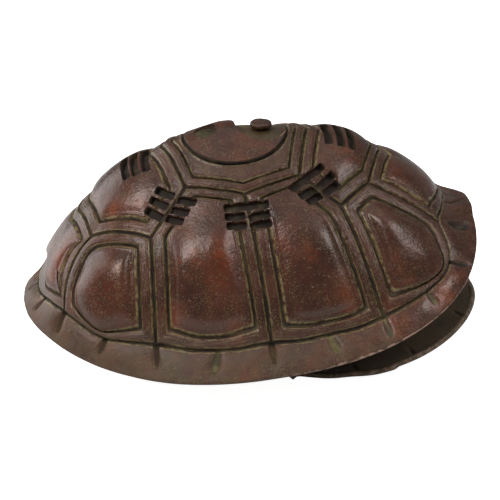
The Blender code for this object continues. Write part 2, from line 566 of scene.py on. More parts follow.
@dataclass
class SeamPlan:
    """Where the seams run in plan, on the side at -y; the other side is its mirror."""

    dome: Dome
    step: float = 0.78
    wobble: float = 0.22
    wobble_grain: float = 9.0
    wobble_shift: float = 40.0
    wobble_from_midline: float = 4.0
    inner_wobble: float = 0.6
    trace_points: int = 4000
    bend_points: int = 200
    steepness_points: int = 12
    least_gap: float = 0.05
    gouge_stations: tuple[float, ...] = (-1.3, -0.85, -0.55, -0.25, 0.0, 0.25, 0.55, 0.85, 1.3)
    corners: dict[str, Pair] = field(default_factory=lambda: {
        "head": (57.2, 0.0), "nuchal": (55.8, -7.0), "shoulder": (51.9, -18.6),
        "v1_v2": (38.0, 0.0), "v2_v3": (17.0, 0.0), "v3_v4": (-24.2, 0.0), "v4_v5": (-48.2, 0.0),
        "tail": (-61.1, 0.0),
        "v1_v2_c1": (32.1, -15.6), "v2_c1_c2": (23.4, -22.1), "v2_v3_c2": (12.6, -15.9),
        "v3_c2_c3": (-2.9, -19.9), "v3_v4_c3": (-18.3, -15.7), "v4_c3_c4": (-28.7, -23.1),
        "v4_v5_c4": (-44.6, -14.3),
        "c1_c2": (32.6, -40.4), "c2_c3": (1.8, -42.8), "c3_c4": (-28.6, -38.1), "c4_v5": (-53.2, -22.6)})
    bends: dict[tuple[str, str], tuple[Pair, ...]] = field(default_factory=lambda: {
        ("v4_v5_c4", "c4_v5"): ((-48.3, -14.6), (-51.2, -16.6), (-52.7, -19.2))})
    band_line: tuple[str | Pair, ...] = (
        "head", "nuchal", (54.0, -12.6), "shoulder", (53.2, -22.2), (53.6, -25.4), (52.4, -29.2),
        (49.9, -32.5), (45.7, -35.6), (40.5, -37.9), "c1_c2", (17.5, -42.6), "c2_c3",
        (-12.4, -42.3), "c3_c4", (-42.1, -33.2), "c4_v5", (-58.5, -13.0), "tail")
    marginal_seams: tuple[Gouge, ...] = (
        Gouge((55.8, -7.0), (63.4, -4.6), half_width=0.45, depth=0.5, end=0.95, pale=0.8),
        Gouge((53.0, -17.4), (61.7, -13.4), half_width=1.3, depth=1.5, end=1.0, pale=0.0, start=0.3),
        Gouge((53.2, -28.2), (59.8, -26.7), half_width=0.5, depth=0.9, end=0.98, pale=0.0),
        Gouge((45.2, -36.0), (48.5, -38.8), half_width=0.5, depth=0.5, pale=1.0),
        Gouge((32.6, -40.4), (34.2, -44.8), half_width=0.65, end=0.9, pale=1.0),
        Gouge((17.5, -42.6), (20.2, -47.5), half_width=1.0, depth=0.7, pale=1.0),
        Gouge((1.8, -42.8), (2.5, -48.0)),
        Gouge((-12.4, -42.3), (-13.8, -46.2), half_width=1.0, depth=0.7, end=0.85, pale=1.0),
        Gouge((-28.6, -38.1), (-28.7, -42.6)),
        Gouge((-42.1, -33.2), (-44.7, -35.4)),
        Gouge((-53.2, -22.6), (-55.9, -24.5), half_width=0.95, depth=1.3, end=0.9),
        Gouge((-58.8, -11.9), (-62.7, -11.8), half_width=0.6, depth=1.1, pale=0.1),
        Gouge((-61.1, 0.0), (-65.0, 0.0), half_width=0.4, depth=0.5, end=0.85, pale=0.0))
    scutes: tuple[Scute, ...] = (
        Scute("vertebral_1", ("head", "shoulder", "v1_v2_c1", "v1_v2"), 0.8, 0.7, 6.0, sink=0.1,
              on_midline=True, slim=(0.5, 0.85, 0.85)),
        Scute("vertebral_2", ("v1_v2", "v1_v2_c1", "v2_c1_c2", "v2_v3_c2", "v2_v3"), 0.9, 0.7, 6.0,
              on_midline=True, slim=(0.65, 1.0, 1.0, 0.9)),
        Scute("vertebral_3", ("v2_v3", "v2_v3_c2", "v3_c2_c3", "v3_v4_c3", "v3_v4"), 0.0, 0.45, 5.5,
              on_midline=True, slim=(0.8, 0.8, 0.8, 0.8)),
        Scute("vertebral_4", ("v3_v4", "v3_v4_c3", "v4_c3_c4", "v4_v5_c4", "v4_v5"), 0.8, 0.7, 6.0, sink=0.7,
              on_midline=True),
        Scute("vertebral_5", ("v4_v5", "v4_v5_c4", "c4_v5", "tail"), 1.5, 0.8, 8.0, sink=0.4,
              on_midline=True, slim=(0.85, 0.5, 1.1), ease=(0.3, 1.0, 2.2)),
        Scute("costal_1", ("v1_v2_c1", "shoulder", "c1_c2", "v2_c1_c2"), 2.1, 2.1, 6.5,
              ease=(1.2, 0.55, 1.9, 1.2)),
        Scute("costal_2", ("v2_v3_c2", "v2_c1_c2", "c1_c2", "c2_c3", "v3_c2_c3"), 1.3, 1.3, 5.0,
              slim=(1.0, 1.0, 1.0, 1.0, 0.65), ease=(0.8, 1.2, 1.2, 0.5, 0.25)),
        Scute("costal_3", ("v3_v4_c3", "v3_c2_c3", "c2_c3", "c3_c4", "v4_c3_c4"), 1.3, 1.3, 5.0,
              slim=(0.65, 1.0, 1.0, 1.0, 0.9), ease=(0.6, 1.0, 1.2, 1.9, 0.9)),
        Scute("costal_4", ("v4_v5_c4", "v4_c3_c4", "c3_c4", "c4_v5"), 1.7, 1.3, 5.5,
              slim=(0.95, 1.0, 0.9, 0.95), ease=(1.0, 2.2, 0.8, 0.45)))
    band: Points = field(init=False)
    band_stops: dict[str, int] = field(init=False)
    gouges: list[tuple[int, Gouge]] = field(init=False)
    _edges: dict[tuple[str, str], Points] = field(init=False, default_factory=dict)

    def __post_init__(self) -> None:
        """Draws the band line once, with a point on each seam that meets it."""
        places = np.array([self.corners[c] if isinstance(c, str) else c for c in self.band_line])
        run = run_along(places)
        longer_run = np.concatenate([[-run[1]], run, [2 * run[-1] - run[-2]]])
        longer = np.concatenate([places[1:2] * ACROSS, places, places[-2:-1] * ACROSS])
        fine = np.linspace(0.0, run[-1], self.trace_points)
        trace = smooth_path(longer_run, longer, fine)
        meets = [float(fine[np.argmin(np.linalg.norm(trace - gouge.inner, axis=1))])
                 for gouge in self.marginal_seams]
        stops = self._band_stations(run, meets)
        self.band = self._wander(smooth_path(longer_run, longer, stops))
        self.band[[0, -1], 1] = 0.0
        self.band_stops = {name: int(np.argmin(np.abs(stops - at)))
                           for name, at in zip(self.band_line, run) if isinstance(name, str)}
        self.gouges = [(int(np.argmin(np.abs(stops - meet))), gouge)
                       for meet, gouge in zip(meets, self.marginal_seams)]

    def _band_stations(self, run: Points, meets: Sequence[float]) -> Points:
        """Where the band line has a point: evenly, and closer together at each marginal seam.

        Args:
            run: distances of the line's own places along it.
            meets: distances at which a marginal seam meets it.

        Returns:
            Distances along the line, in rising order.
        """
        fixed = {float(r) for r in run}
        for meet in meets:
            fixed |= {float(round(meet + offset, 6)) for offset in self.gouge_stations}
        ordered = sorted(value for value in fixed if 0.0 <= value <= run[-1])
        thinned = [ordered[0]]
        for value in ordered[1:]:
            if value - thinned[-1] > self.least_gap:
                thinned.append(value)
        stops: list[float] = []
        for low, high in zip(thinned, thinned[1:]):
            count = max(int(math.ceil((high - low) / self.step)), 1)
            stops.extend(np.linspace(low, high, count, endpoint=False))
        return np.array(stops + [thinned[-1]])

    def _wander(self, plan: Points) -> Points:
        """Lets a seam line stray a little, as a hand-cut line does; the midline stays where it is.

        Args:
            plan: (n, 2) plan points of the line.

        Returns:
            (n, 2) the moved points.
        """
        at = np.concatenate([plan, np.zeros((len(plan), 1))], axis=1)
        stray = np.stack([unevenness(at + shift, self.wobble_grain, self.wobble)
                          for shift in (0.0, self.wobble_shift)], axis=1)
        return plan + stray * smooth_step(0.0, self.wobble_from_midline, np.abs(plan[:, 1]))[:, None]

    def edge(self, start: str, end: str) -> Points:
        """Points along one seam, the same ones from either side.

        Args:
            start: corner that the seam leaves.
            end: corner that it reaches.

        Returns:
            (n, 2) plan points from start to end.
        """
        if (end, start) in self._edges:
            return self._edges[end, start][::-1]
        if (start, end) not in self._edges:
            if start in self.band_stops and end in self.band_stops:
                low, high = self.band_stops[start], self.band_stops[end]
                points = self.band[low:high + 1] if low < high else self.band[high:low + 1][::-1]
            else:
                points = self._plain_edge(start, end)
            self._edges[start, end] = points
        return self._edges[start, end]

    def _plain_edge(self, start: str, end: str) -> Points:
        """A seam that runs over the plan between two corners, straight or through its bends.

        Args:
            start: corner that the seam leaves.
            end: corner that it reaches.

        Returns:
            (n, 2) plan points from start to end, evenly spaced.
        """
        ends = [self.band[self.band_stops[c]] if c in self.band_stops
                else self._wander(np.array([self.corners[c]]))[0] for c in (start, end)]
        between = list(self.bends.get((start, end), ())) + list(self.bends.get((end, start), ()))[::-1]
        path = np.array([ends[0], *between, ends[1]])
        run = run_along(path)
        if between:
            path = smooth_path(run, path, np.linspace(0.0, run[-1], self.bend_points))
        steep = self.dome.surface(evenly_spaced(path, run[-1] / self.steepness_points))
        line = evenly_spaced(path, self.step * run[-1] / run_along(steep)[-1])
        inner = self._wander(line)[1:-1]
        return np.concatenate([line[:1], inner + (line[1:-1] - inner) * (1 - self.inner_wobble), line[-1:]])

    def loop(self, scute: Scute) -> tuple[Points, list[int]]:
        """The closed seam line round a scute.

        Args:
            scute: the scute to go round.

        Returns:
            (n, 2) plan points, and the index of each corner. A midline scute's loop starts at its front
            midline point, runs down the -y side, and comes back up the other.
        """
        names = list(scute.corners)
        sides = [self.edge(a, b) for a, b in zip(names, names[1:] + ([] if scute.on_midline else names[:1]))]
        if scute.on_midline:
            sides += [side[::-1] * ACROSS for side in reversed(sides)]
        corners = [0, *np.cumsum([len(side) - 1 for side in sides[:-1]]).tolist()]
        return np.concatenate([side[:-1] for side in sides]), corners


# --- the disc


@dataclass
class Disc:
    """The round disc on the ridge: a raised half at -y and a low half at +y, either side of an S-shaped line.

    Its ring is the channel round it, as radii and lifts, and its head is the x, y and spread of the raised
    half's swell. Rows of each half are close together by the S-shaped line and by the ring.
    """

    dome: Dome
    middle_x: float = -3.4
    radius: float = 14.4
    top: float = 0.60
    edge: float = 0.30
    low: float = -0.75
    crown_run: float = 9.0
    ring: tuple[Pair, ...] = (
        (15.9, 0.10), (15.30, 0.08), (15.14, -0.10), (14.98, -0.60), (14.80, -0.95), (14.60, -0.90),
        (14.44, -0.45))
    head: Place = (-3.2, 1.0, 4.5)
    head_rise: float = 0.6
    rows_by_line: tuple[float, ...] = (0.0, 0.12, 0.35, 0.7, 1.2)
    rows_by_rim: tuple[float, ...] = (0.0, 0.2, 0.45, 0.8, 1.3)
    middle_rows: int = 10
    line_drop: float = 0.2
    raised_bevel: float = 0.5
    low_bevel: float = 0.32
    rim_bevel: Pair = (-0.12, 0.42)
    skin: Pair = (0.10, 0.04)
    skin_from_rim: float = 0.8
    low_verdigris: float = 0.6
    raised_plate: float = 0.6
    # reach of the painted highlight along the raised half's edge at the S-shaped line
    highlight_reach: float = 0.35
    shadow_reach: float = 0.7
    pit_at: Pair = (-11.5, -1.2)
    pit_radius: float = 3.4
    pit_depth: float = 1.3
    pit_tool_height: float = 4.0
    pit_sides: int = 48
    survey_reach: float = 22.0
    survey_points: int = 220

    def point(self, radius: Points, turn: Points) -> Points:
        """Points of circles drawn on the dome round the disc's middle.

        Args:
            radius: distances from the middle, over the surface.
            turn: turns from the head in radians.

        Returns:
            (..., 2) plan points.
        """
        reach = np.linspace(0.0, self.survey_reach, self.survey_points)
        slope = self.dome.slopes(np.stack([np.full_like(reach, self.middle_x), reach], axis=1))[:, 1]
        along = np.concatenate([[0.0], np.cumsum(np.sqrt(1 + slope[1:] ** 2) * np.diff(reach))])
        sideways = radius * np.sin(turn)
        y = np.interp(np.abs(sideways), along, reach) * np.sign(sideways)
        return np.stack([self.middle_x + radius * np.cos(turn), y], axis=-1)

    @staticmethod
    def turns(steps: int) -> Points:
        """Turns of the points on the disc's edge, from the head round the -y side to the tail."""
        return -np.pi * np.arange(steps + 1) / steps

    def halves(self, steps: int) -> list[bpy.types.Object]:
        """Lays the disc's two halves.

        Args:
            steps: number of steps round half of its edge.

        Returns:
            The two halves' grids.
        """
        turns = self.turns(steps)
        share = -turns / np.pi
        bend, small = 2 * np.pi * share, self.radius / 2
        s_x = np.where(share < 0.5, small + small * np.cos(bend), -small - small * np.cos(bend))
        s_line = np.stack([s_x, -small * np.sin(bend)], axis=1)
        s_line[[0, -1]] = [[self.radius, 0.0], [-self.radius, 0.0]]
        near_rim = self.radius * np.stack([np.cos(turns), np.sin(turns)], axis=1)
        return [self._half("disc_raised", s_line, near_rim, raised=True),
                self._half("disc_low", s_line, near_rim * ACROSS, raised=False)]

    def _half(self, name: str, s_line: Points, rim: Points, raised: bool) -> bpy.types.Object:
        """Lays one half between the S-shaped line and the disc's edge.

        Args:
            name: the grid's name.
            s_line: (n, 2) the line, from the disc's middle.
            rim: (n, 2) the half's edge, likewise.
            raised: whether it is the raised half.

        Returns:
            Its grid.
        """
        gap = np.maximum(np.linalg.norm(rim - s_line, axis=1), TINY)
        total = len(self.rows_by_line) + self.middle_rows + len(self.rows_by_rim) - 1
        near = [np.minimum(distance / gap, k / total) for k, distance in enumerate(self.rows_by_line)]
        far = [1 - np.minimum(distance / gap, k / total) for k, distance in enumerate(self.rows_by_rim)][::-1]
        flat = blend(s_line, rim, fill_between(near, far, self.middle_rows))
        away_line = np.linalg.norm(flat - s_line[None], axis=-1)
        away_rim = np.maximum(self.radius - np.linalg.norm(flat, axis=-1), 0.0)
        lift = self._lift(flat, away_line, away_rim, raised)
        turn = np.arctan2(flat[..., 1], flat[..., 0])
        plan = self.point(np.linalg.norm(flat, axis=-1) * (self.ring[-1][0] / self.radius), turn)
        rough = cast_skin(self.dome.surface(plan, lift), *self.skin)
        points = self.dome.surface(plan, lift + rough * smooth_step(0.0, self.skin_from_rim, away_rim))
        close_on_midline(points)
        # Painted shade near the disc's edge, and on the low half also beside the step at the S-shaped line.
        from_step = away_rim if raised else np.minimum(away_rim, away_line)
        # A pale painted highlight along the raised half's edge at the S-shaped line, carried by the wear
        # mark.
        worn = np.exp(-(away_line / self.highlight_reach) ** 2) if raised else np.zeros(lift.shape)
        return lay_grid(name, points, {
            Mark.VERDIGRIS: np.full(lift.shape, 0.0 if raised else self.low_verdigris),
            Mark.WEAR_AND_GLINT: worn,
            Mark.PLATE: np.full(lift.shape, self.raised_plate if raised else 0.0),
            Mark.SEAM: SEAM_REACH - from_step,
            Mark.CUT: smooth_step(self.shadow_reach, 0.0, from_step)})

    def _lift(self, flat: Points, away_line: Points, away_rim: Points, raised: bool) -> Points:
        """Lift of one half's points over the dome: a domed face, bevelled to the line and to the ring.

        Args:
            flat: (rows, columns, 2) its points, from the disc's middle.
            away_line: distance of each from the S-shaped line.
            away_rim: distance of each from the disc's edge.
            raised: whether it is the raised half.

        Returns:
            (rows, columns) lifts.
        """
        head_x, head_y, spread = self.head
        from_head = np.linalg.norm(flat - np.array([head_x, head_y]), axis=-1) / spread
        domed = self.edge + (self.top - self.edge) * smooth_step(0.0, self.crown_run, away_rim)
        if raised:
            domed = domed + self.head_rise * np.exp(-from_head ** 2)
        line_lift = domed - self.line_drop
        face, bevel = (domed, self.raised_bevel) if raised else (self.low, self.low_bevel)
        lift = line_lift + (face - line_lift) * smooth_step(0.0, bevel, away_line)
        ring_lift = self.ring[-1][1]
        lift = ring_lift + (lift - ring_lift) * smooth_step(*self.rim_bevel, away_rim)
        lift[-1] = ring_lift
        lift[:, [0, -1]] = ring_lift
        return lift

    def pit_tool(self) -> bpy.types.Object:
        """Makes the tool that sinks the round pit into the disc's raised head.

        Returns:
            The tool.
        """
        x, y = self.pit_at
        floor = float(self.dome.height(np.array(x), np.array(y))) + self.top - self.pit_depth
        place = Vector((x, y, floor + self.pit_tool_height / 2)) * MM
        deselect_all()
        bpy.ops.mesh.primitive_cylinder_add(vertices=self.pit_sides, radius=self.pit_radius * MM,
                                            depth=self.pit_tool_height * MM, location=place)
        bpy.ops.object.transform_apply(location=True, rotation=True, scale=True)
        return bpy.context.active_object


# --- the bars


@dataclass(frozen=True)
class BarGroup:
    """Three bars, from the disc outwards: each bar's two ends in plan, and how it is cut."""

    name: str
    bars: tuple[tuple[Pair, Pair], ...]
    kinds: tuple[Bar, ...]

    def twin(self, name: str, kinds: tuple[Bar, ...]) -> BarGroup:
        """The same bars on the other side of the shell, cut in another way."""
        return BarGroup(name, tuple(((a[0], -a[1]), (b[0], -b[1])) for a, b in self.bars), kinds)


WHOLE, SPLIT = Bar.WHOLE, Bar.SPLIT
SOUTH = BarGroup(
    "south", (((-8.8, -22.9), (3.7, -22.6)), ((-8.7, -24.9), (3.7, -24.5)), ((-8.4, -26.9), (3.8, -26.3))),
    (WHOLE, SPLIT, SPLIT))
SOUTH_EAST = BarGroup(
    "south_east", (((9.7, -19.8), (19.7, -13.8)), ((12.0, -21.4), (22.4, -15.6)),
                   ((14.0, -22.7), (23.3, -17.4))), (WHOLE, SPLIT, SPLIT))
SOUTH_WEST = BarGroup(
    "south_west", (((-26.5, -13.3), (-15.8, -20.2)), ((-28.2, -14.9), (-17.9, -21.8)),
                   ((-29.5, -16.6), (-19.6, -23.3))), (SPLIT, SPLIT, SPLIT))
EAST = BarGroup(
    "east", (((22.2, -7.9), (22.2, 3.8)), ((25.5, -8.4), (25.5, 3.8)), ((28.6, -8.4), (28.6, 3.8))),
    (WHOLE, WHOLE, WHOLE))
WEST = BarGroup(
    "west", (((-28.6, -8.0), (-28.6, 3.4)), ((-31.6, -8.0), (-31.6, 3.4)), ((-34.2, -7.8), (-34.2, 3.4))),
    (WHOLE, WHOLE, WHOLE))


@dataclass
class BarTool:
    """The tool that cuts the bars round the disc: one block with squared ends for each slot."""

    dome: Dome
    groups: tuple[BarGroup, ...] = (
        SOUTH, SOUTH_EAST, SOUTH_WEST, EAST, WEST, SOUTH.twin("north", (SPLIT, WHOLE, SPLIT)),
        SOUTH_EAST.twin("north_east", (SPLIT, WHOLE, WHOLE)),
        SOUTH_WEST.twin("north_west", (WHOLE, WHOLE, SPLIT)))
    width: float = 2.35
    cross_width: float = 2.4
    depth: float = 1.6
    squareness: float = 0.5
    gap: float = 0.9
    floor_share: float = 0.84
    mouth_share: float = 1.15
    shoulder_depth: float = 0.1
    top: float = 3.0
    ridge_sag: float = 0.2
    survey_height: float = 100.0
    survey_points: int = 7
    sides: int = 20
    waist: float = 0.1
    tier_split: float = 0.4
    middle_width: float = 1e-4
    least_reach: float = 0.05

    def build(self, piece: bpy.types.Object) -> bpy.types.Object:
        """Builds the tool.

        Args:
            piece: the casting that it cuts.

        Returns:
            All the blocks as one object.
        """
        skin = BVHTree.FromObject(piece, bpy.context.evaluated_depsgraph_get())
        blocks = []
        for group in self.groups:
            for k, (ends, kind) in enumerate(zip(group.bars, group.kinds)):
                a, b = (np.array(end) for end in ends)
                if kind is Bar.WHOLE:
                    blocks.append(self._block(f"{group.name}_{k}", a, b, skin))
                    continue
                length = float(np.linalg.norm(self.dome.surface(b) - self.dome.surface(a)))
                gap = self.gap / 2 / max(length, 1.0)
                blocks.append(self._block(f"{group.name}_{k}_a", a, a + (b - a) * (0.5 - gap), skin))
                blocks.append(self._block(f"{group.name}_{k}_b", a + (b - a) * (0.5 + gap), b, skin))
        return weld("bar_tool", blocks)

    def _block(self, name: str, start: Points, end: Points, skin: BVHTree) -> bpy.types.Object:
        """One block, set square to the dome, that cuts a slot between two plan points.

        Args:
            name: the block's name.
            start: plan point at one end of the slot.
            end: plan point at the other end.
            skin: the surface that it cuts into.

        Returns:
            The block; one that crosses the dome's ridge bends over it at the middle.
        """
        across_ridge = start[0] == end[0]
        radius = (self.cross_width if across_ridge else self.width) / 2
        up = Vector(self.dome.normals((start + end) / 2))
        above = [Vector((*(start + (end - start) * share), self.survey_height)) * MM
                 for share in np.linspace(0.0, 1.0, self.survey_points)]
        spots = [skin.ray_cast(place, Vector((0, 0, -1)))[0] / MM for place in above]
        heights = [spot.dot(up) for spot in spots]
        level = sum(heights) / len(heights)
        bend = (0.0, 0.0)
        if across_ridge:
            bend = (min(heights[0], heights[-1]) - self.ridge_sag - level, heights[len(heights) // 2] - level)
        middle = (spots[0] + spots[-1]) / 2
        middle += up * (level - middle.dot(up))
        along = spots[-1] - spots[0]
        along -= along.project(up)
        reach = max(along.length / 2 - radius, self.least_reach)
        along.normalize()
        across = up.cross(along)
        tiers = ((self.floor_share, -self.depth), (1.0, -self.shoulder_depth), (self.mouth_share, self.top))
        block = self._cylinder(name)
        for vert in block.data.vertices:
            spread, height = tiers[int(vert.co.z > -self.tier_split) + int(vert.co.z > self.tier_split)]
            at_middle = abs(vert.co.x) < self.middle_width
            shift = 0.0 if at_middle else math.copysign(reach, vert.co.x)
            length, width = (math.copysign(abs(value) ** self.squareness, value) * spread * radius
                             for value in vert.co.xy)
            place = middle + along * (length + shift) + across * width + up * (height + bend[int(at_middle)])
            vert.co = place * MM
        return block

    def _cylinder(self, name: str) -> bpy.types.Object:
        """Adds a plain cylinder with a row of vertices round its waist and one over its middle.

        Args:
            name: its name.

        Returns:
            The cylinder.
        """
        deselect_all()
        bpy.ops.mesh.primitive_cylinder_add(vertices=self.sides, radius=1.0, depth=1.0)
        block = bpy.context.active_object
        block.name = name
        bpy.ops.object.mode_set(mode="EDIT")
        for place, normal in (((0, 0, self.waist), (0, 0, 1)), ((0, 0, 0), (1, 0, 0))):
            bpy.ops.mesh.select_all(action="SELECT")
            bpy.ops.mesh.bisect(plane_co=place, plane_no=normal)
        bpy.ops.object.mode_set(mode="OBJECT")
        return block


# --- the carapace


@dataclass
class Carapace:
    """The dome casting, with its scutes, disc, bars, rim and inner wall.

    Band rows are the depth from the seam and the lift of each row of a scute's frame, margin rows the same
    for the marginal band. Warm spots are the x, y, radius and strength of the more orange patina.
    """

    dome: Dome
    plan: SeamPlan
    disc: Disc
    bars: BarTool
    disc_scute: str = "vertebral_3"
    sharp_from: float = 42.0
    skin: Pair = (0.07, 0.035)
    band_rows: tuple[Pair, ...] = (
        (0.0, -0.78), (0.26, -0.66), (0.48, -0.24), (0.70, 0.06), (1.20, 0.24), (2.00, 0.32), (2.70, 0.26),
        (3.20, 0.10), (3.42, -0.12), (3.64, -0.46), (3.90, -0.62), (4.16, -0.48), (4.38, -0.06),
        (4.64, 0.22), (5.05, 0.42), (5.80, 0.62))
    rounding_power: float = 0.8
    sharp_lean: float = -0.6
    straight_lean: float = 0.97
    frame_rows: int = 14
    channel_shares: Pair = (0.35, 0.7)
    channel_lift: float = 0.10
    channel_plate: float = 0.7
    channel_verdigris: float = 0.42
    channel_green_rows: int = 4
    plate_rows: int = 15
    plate_row_power: float = 1.25
    plate_softness: float = 7.0
    plate_soft_by: float = 0.5
    crown_power: float = 2.4
    corner_blend: float = 2.2
    least_distance: float = 0.01
    sink_run: float = 2.0
    shoulder: tuple[Pair, ...] = ((-46.0, 22.0), (-25.0, 29.2), (-5.0, 30.4), (22.0, 28.4), (42.0, 23.0))
    shoulder_rise: float = 0.85
    shoulder_half_width: float = 4.0
    shoulder_drop: float = 0.9
    shoulder_run: float = 11.0
    warm_spots: tuple[tuple[float, float, float, float], ...] = (
        (-38.4, -13.0, 2.2, 1.0), (-35.5, -14.0, 6.0, 0.4), (-10.5, -31.2, 3.6, 0.8),
        (-23.5, -36.5, 2.6, 0.6), (-7.0, -40.4, 2.4, 0.5), (6.5, -31.0, 3.6, 0.45), (22.5, -38.4, 2.8, 0.55),
        (35.6, -42.0, 3.4, 0.8), (50.5, -36.5, 3.4, 0.7), (-4.3, -48.2, 3.6, 0.6), (-53.0, -10.5, 4.0, 0.7),
        (-50.0, -23.0, 2.8, 0.5), (-40.0, -27.0, 6.0, 0.35))
    pit_verdigris: float = 0.55
    pit_shadow: float = 1.0
    bar_verdigris: float = 0.3
    bar_shadow: float = 0.9
    margin_rows: tuple[Pair, ...] = ((0.0, -0.62), (0.35, -0.60), (0.7, -0.34), (1.1, -0.14), (1.6, -0.04))
    margin_even_rows: int = 12
    margin_crown: float = 0.14
    margin_skin: tuple[float, float, float] = (0.12, 0.05, 1.9)
    margin_plate: float = 0.75
    margin_shadow: Pair = (0.7, 1.4)
    gouge_shadow: float = 0.4
    rim_search: tuple[float, float, int] = (0.2, 3.0, 281)
    marginal_swell: float = 0.25
    marginal_run: float = 3.5
    marginal_shares: tuple[Pair, Pair] = ((0.0, 0.3), (1.0, 0.4))
    tail_swell: float = 0.1
    tail_swell_turns: Pair = (-2.4, -2.9)
    tail_flare: float = 0.3
    tail_flare_turns: Pair = (-2.5, -3.0)
    nuchal_rise: float = 1.3
    nuchal_turns: Pair = (0.17, 0.07)
    nuchal_shares: Pair = (0.25, 0.9)
    lip_radius: float = 0.45
    lip_start: float = 0.95
    lip_outer_turns: tuple[int, ...] = (30, 60, 90)
    lip_inner_turns: tuple[int, ...] = (90, 120, 150, 180)
    # Painted highlight along the rim's rounded edge: rows it covers, its strength, and the turns over which
    # it grows towards the head.
    lip_highlight_rows: int = 4
    lip_highlight: Pair = (0.3, 0.6)
    lip_highlight_turns: Pair = (-1.6, -1.1)
    inner_wall: float = 3.1
    inner_rows: int = 23
    inner_row_power: float = 1.15
    inner_wall_by: float = 0.25
    inner_rise_by: float = 0.2
    inner_verdigris: float = 0.3

    def build(self) -> bpy.types.Object:
        """Builds the whole casting.

        Returns:
            The finished piece, in the shared frame.
        """
        tiles = [self._scute(scute) for scute in self.plan.scutes]
        tiles.append(self._margin())
        half = weld("carapace_shell", tiles, turn_out=False)
        mirror_across(half)
        disc_loop, _corners = self.plan.loop(next(s for s in self.plan.scutes if s.name == self.disc_scute))
        piece = weld("carapace_shell", [half, *self.disc.halves(len(disc_loop) // 2)])
        cut_away(piece, self.disc.pit_tool(), self.pit_verdigris, self.pit_shadow)
        cut_away(piece, self.bars.build(piece), self.bar_verdigris, self.bar_shadow)
        settle(piece, self.sharp_from)
        return piece

    # -- scutes

    def _offset(self, loop: Points, corners: list[int], depth: float, slim: Sequence[float]) -> Points:
        """Moves a seam line inwards over the surface, with mitred corners.

        Args:
            loop: (n, 2) closed seam line in plan.
            corners: index of each corner.
            depth: distance over the surface.
            slim: share of that distance for each side.

        Returns:
            (n, 2) the moved line; its points stay evenly spread along each side.
        """
        count = len(loop)
        area = np.sum(loop[:, 0] * np.roll(loop[:, 1], -1) - np.roll(loop[:, 0], -1) * loop[:, 1])
        inward = 1.0 if area > 0 else -1.0
        moved = np.zeros_like(loop)
        spans = [(a, b if b > a else b + count) for a, b in zip(corners, corners[1:] + corners[:1])]
        sides = []
        for (low, high), share in zip(spans, slim):
            points = loop[np.arange(low, high + 1) % count]
            tangent = unit(np.gradient(points, axis=0))
            normal = inward * np.stack([-tangent[:, 1], tangent[:, 0]], axis=1)
            slope = self.dome.slopes(points)
            tilt = np.sum(normal * slope, axis=1) ** 2 / (1 + np.sum(slope ** 2, axis=1))
            sides.append((points, normal, share * depth * np.sqrt(1 - tilt)))
        for k, ((low, high), (points, normal, reach)) in enumerate(zip(spans, sides)):
            before, after = sides[k - 1], sides[(k + 1) % len(sides)]
            start = self._mitre(before[1][-1], before[2][-1], normal[0], reach[0]) - normal[0] * reach[0]
            end = self._mitre(normal[-1], reach[-1], after[1][0], after[2][0]) - normal[-1] * reach[-1]
            run = run_along(points)
            share = (run / run[-1])[:, None]
            line = points + normal * reach[:, None] + (1 - share) * start + share * end
            moved[np.arange(low, high) % count] = line[:-1]
        return moved

    def _mitre(self, normal_a: Points, reach_a: float, normal_b: Points, reach_b: float) -> Points:
        """Where two sides of a line meet after each has moved along its normal.

        Args:
            normal_a: the first side's normal at their corner.
            reach_a: how far that side has moved.
            normal_b: the second side's normal there.
            reach_b: how far that side has moved.

        Returns:
            The way from the old corner to the new one.
        """
        lean = float(np.clip(normal_a @ normal_b, self.sharp_lean, 1.0))
        if lean > self.straight_lean:
            return (normal_a * reach_a + normal_b * reach_b) / (1 + lean)
        share_a, share_b = reach_a - reach_b * lean, reach_b - reach_a * lean
        return (share_a * normal_a + share_b * normal_b) / (1 - lean ** 2)

    def _round_off(self, loop: Points, amount: float) -> Points:
        """Rounds a closed line's corners.

        Args:
            loop: (n, 2) closed line.
            amount: size of the rounding in millimetres.

        Returns:
            (n, 2) the rounded line.
        """
        for _ in range(int(round(2 * (amount / self.plan.step) ** 2))):
            loop = loop * 0.5 + (np.roll(loop, 1, axis=0) + np.roll(loop, -1, axis=0)) * 0.25
        return loop

    def _scute(self, scute: Scute) -> bpy.types.Object:
        """Lays one scute as a grid wrapped round its plate: seam, ridge, groove, then the swelling plate.

        Args:
            scute: the scute to lay.

        Returns:
            Its grid; a midline scute has only the half at -y.
        """
        loop, corners = self.plan.loop(scute)
        slim = scute.per_side(scute.slim, len(corners))
        depths, frame_lifts = np.array(self.band_rows).T
        rings = [loop]
        for depth in depths[1:]:
            rounding = scute.rounding * (depth / depths[-1]) ** self.rounding_power
            rings.append(self._round_off(self._offset(loop, corners, depth, slim), rounding))
        if scute.name == self.disc_scute:
            return self._disc_frame(scute, rings)
        edge_ring = rings[-1]
        soft_ring = self._round_off(edge_ring, self.plate_softness)
        pole = edge_ring.mean(axis=0)
        if scute.on_midline:
            pole[1] = 0.0
        for share in np.linspace(0.0, 1.0, self.plate_rows + 1)[1:] ** self.plate_row_power:
            soft = float(smooth_step(0.0, self.plate_soft_by, np.array(share)))
            rings.append((edge_ring * (1 - soft) + soft_ring * soft) * (1 - share) + pole * share)
        swell = self._swell(scute, np.stack(rings[len(depths):]), edge_ring, corners)
        lift = np.concatenate([np.repeat(frame_lifts[:, None], len(loop), axis=1), frame_lifts[-1] + swell])
        sunk = np.concatenate([smooth_step(0.0, self.sink_run, depths), np.ones(self.plate_rows)])
        return self._lay_scute(scute, np.stack(rings), lift - scute.sink * sunk[:, None])

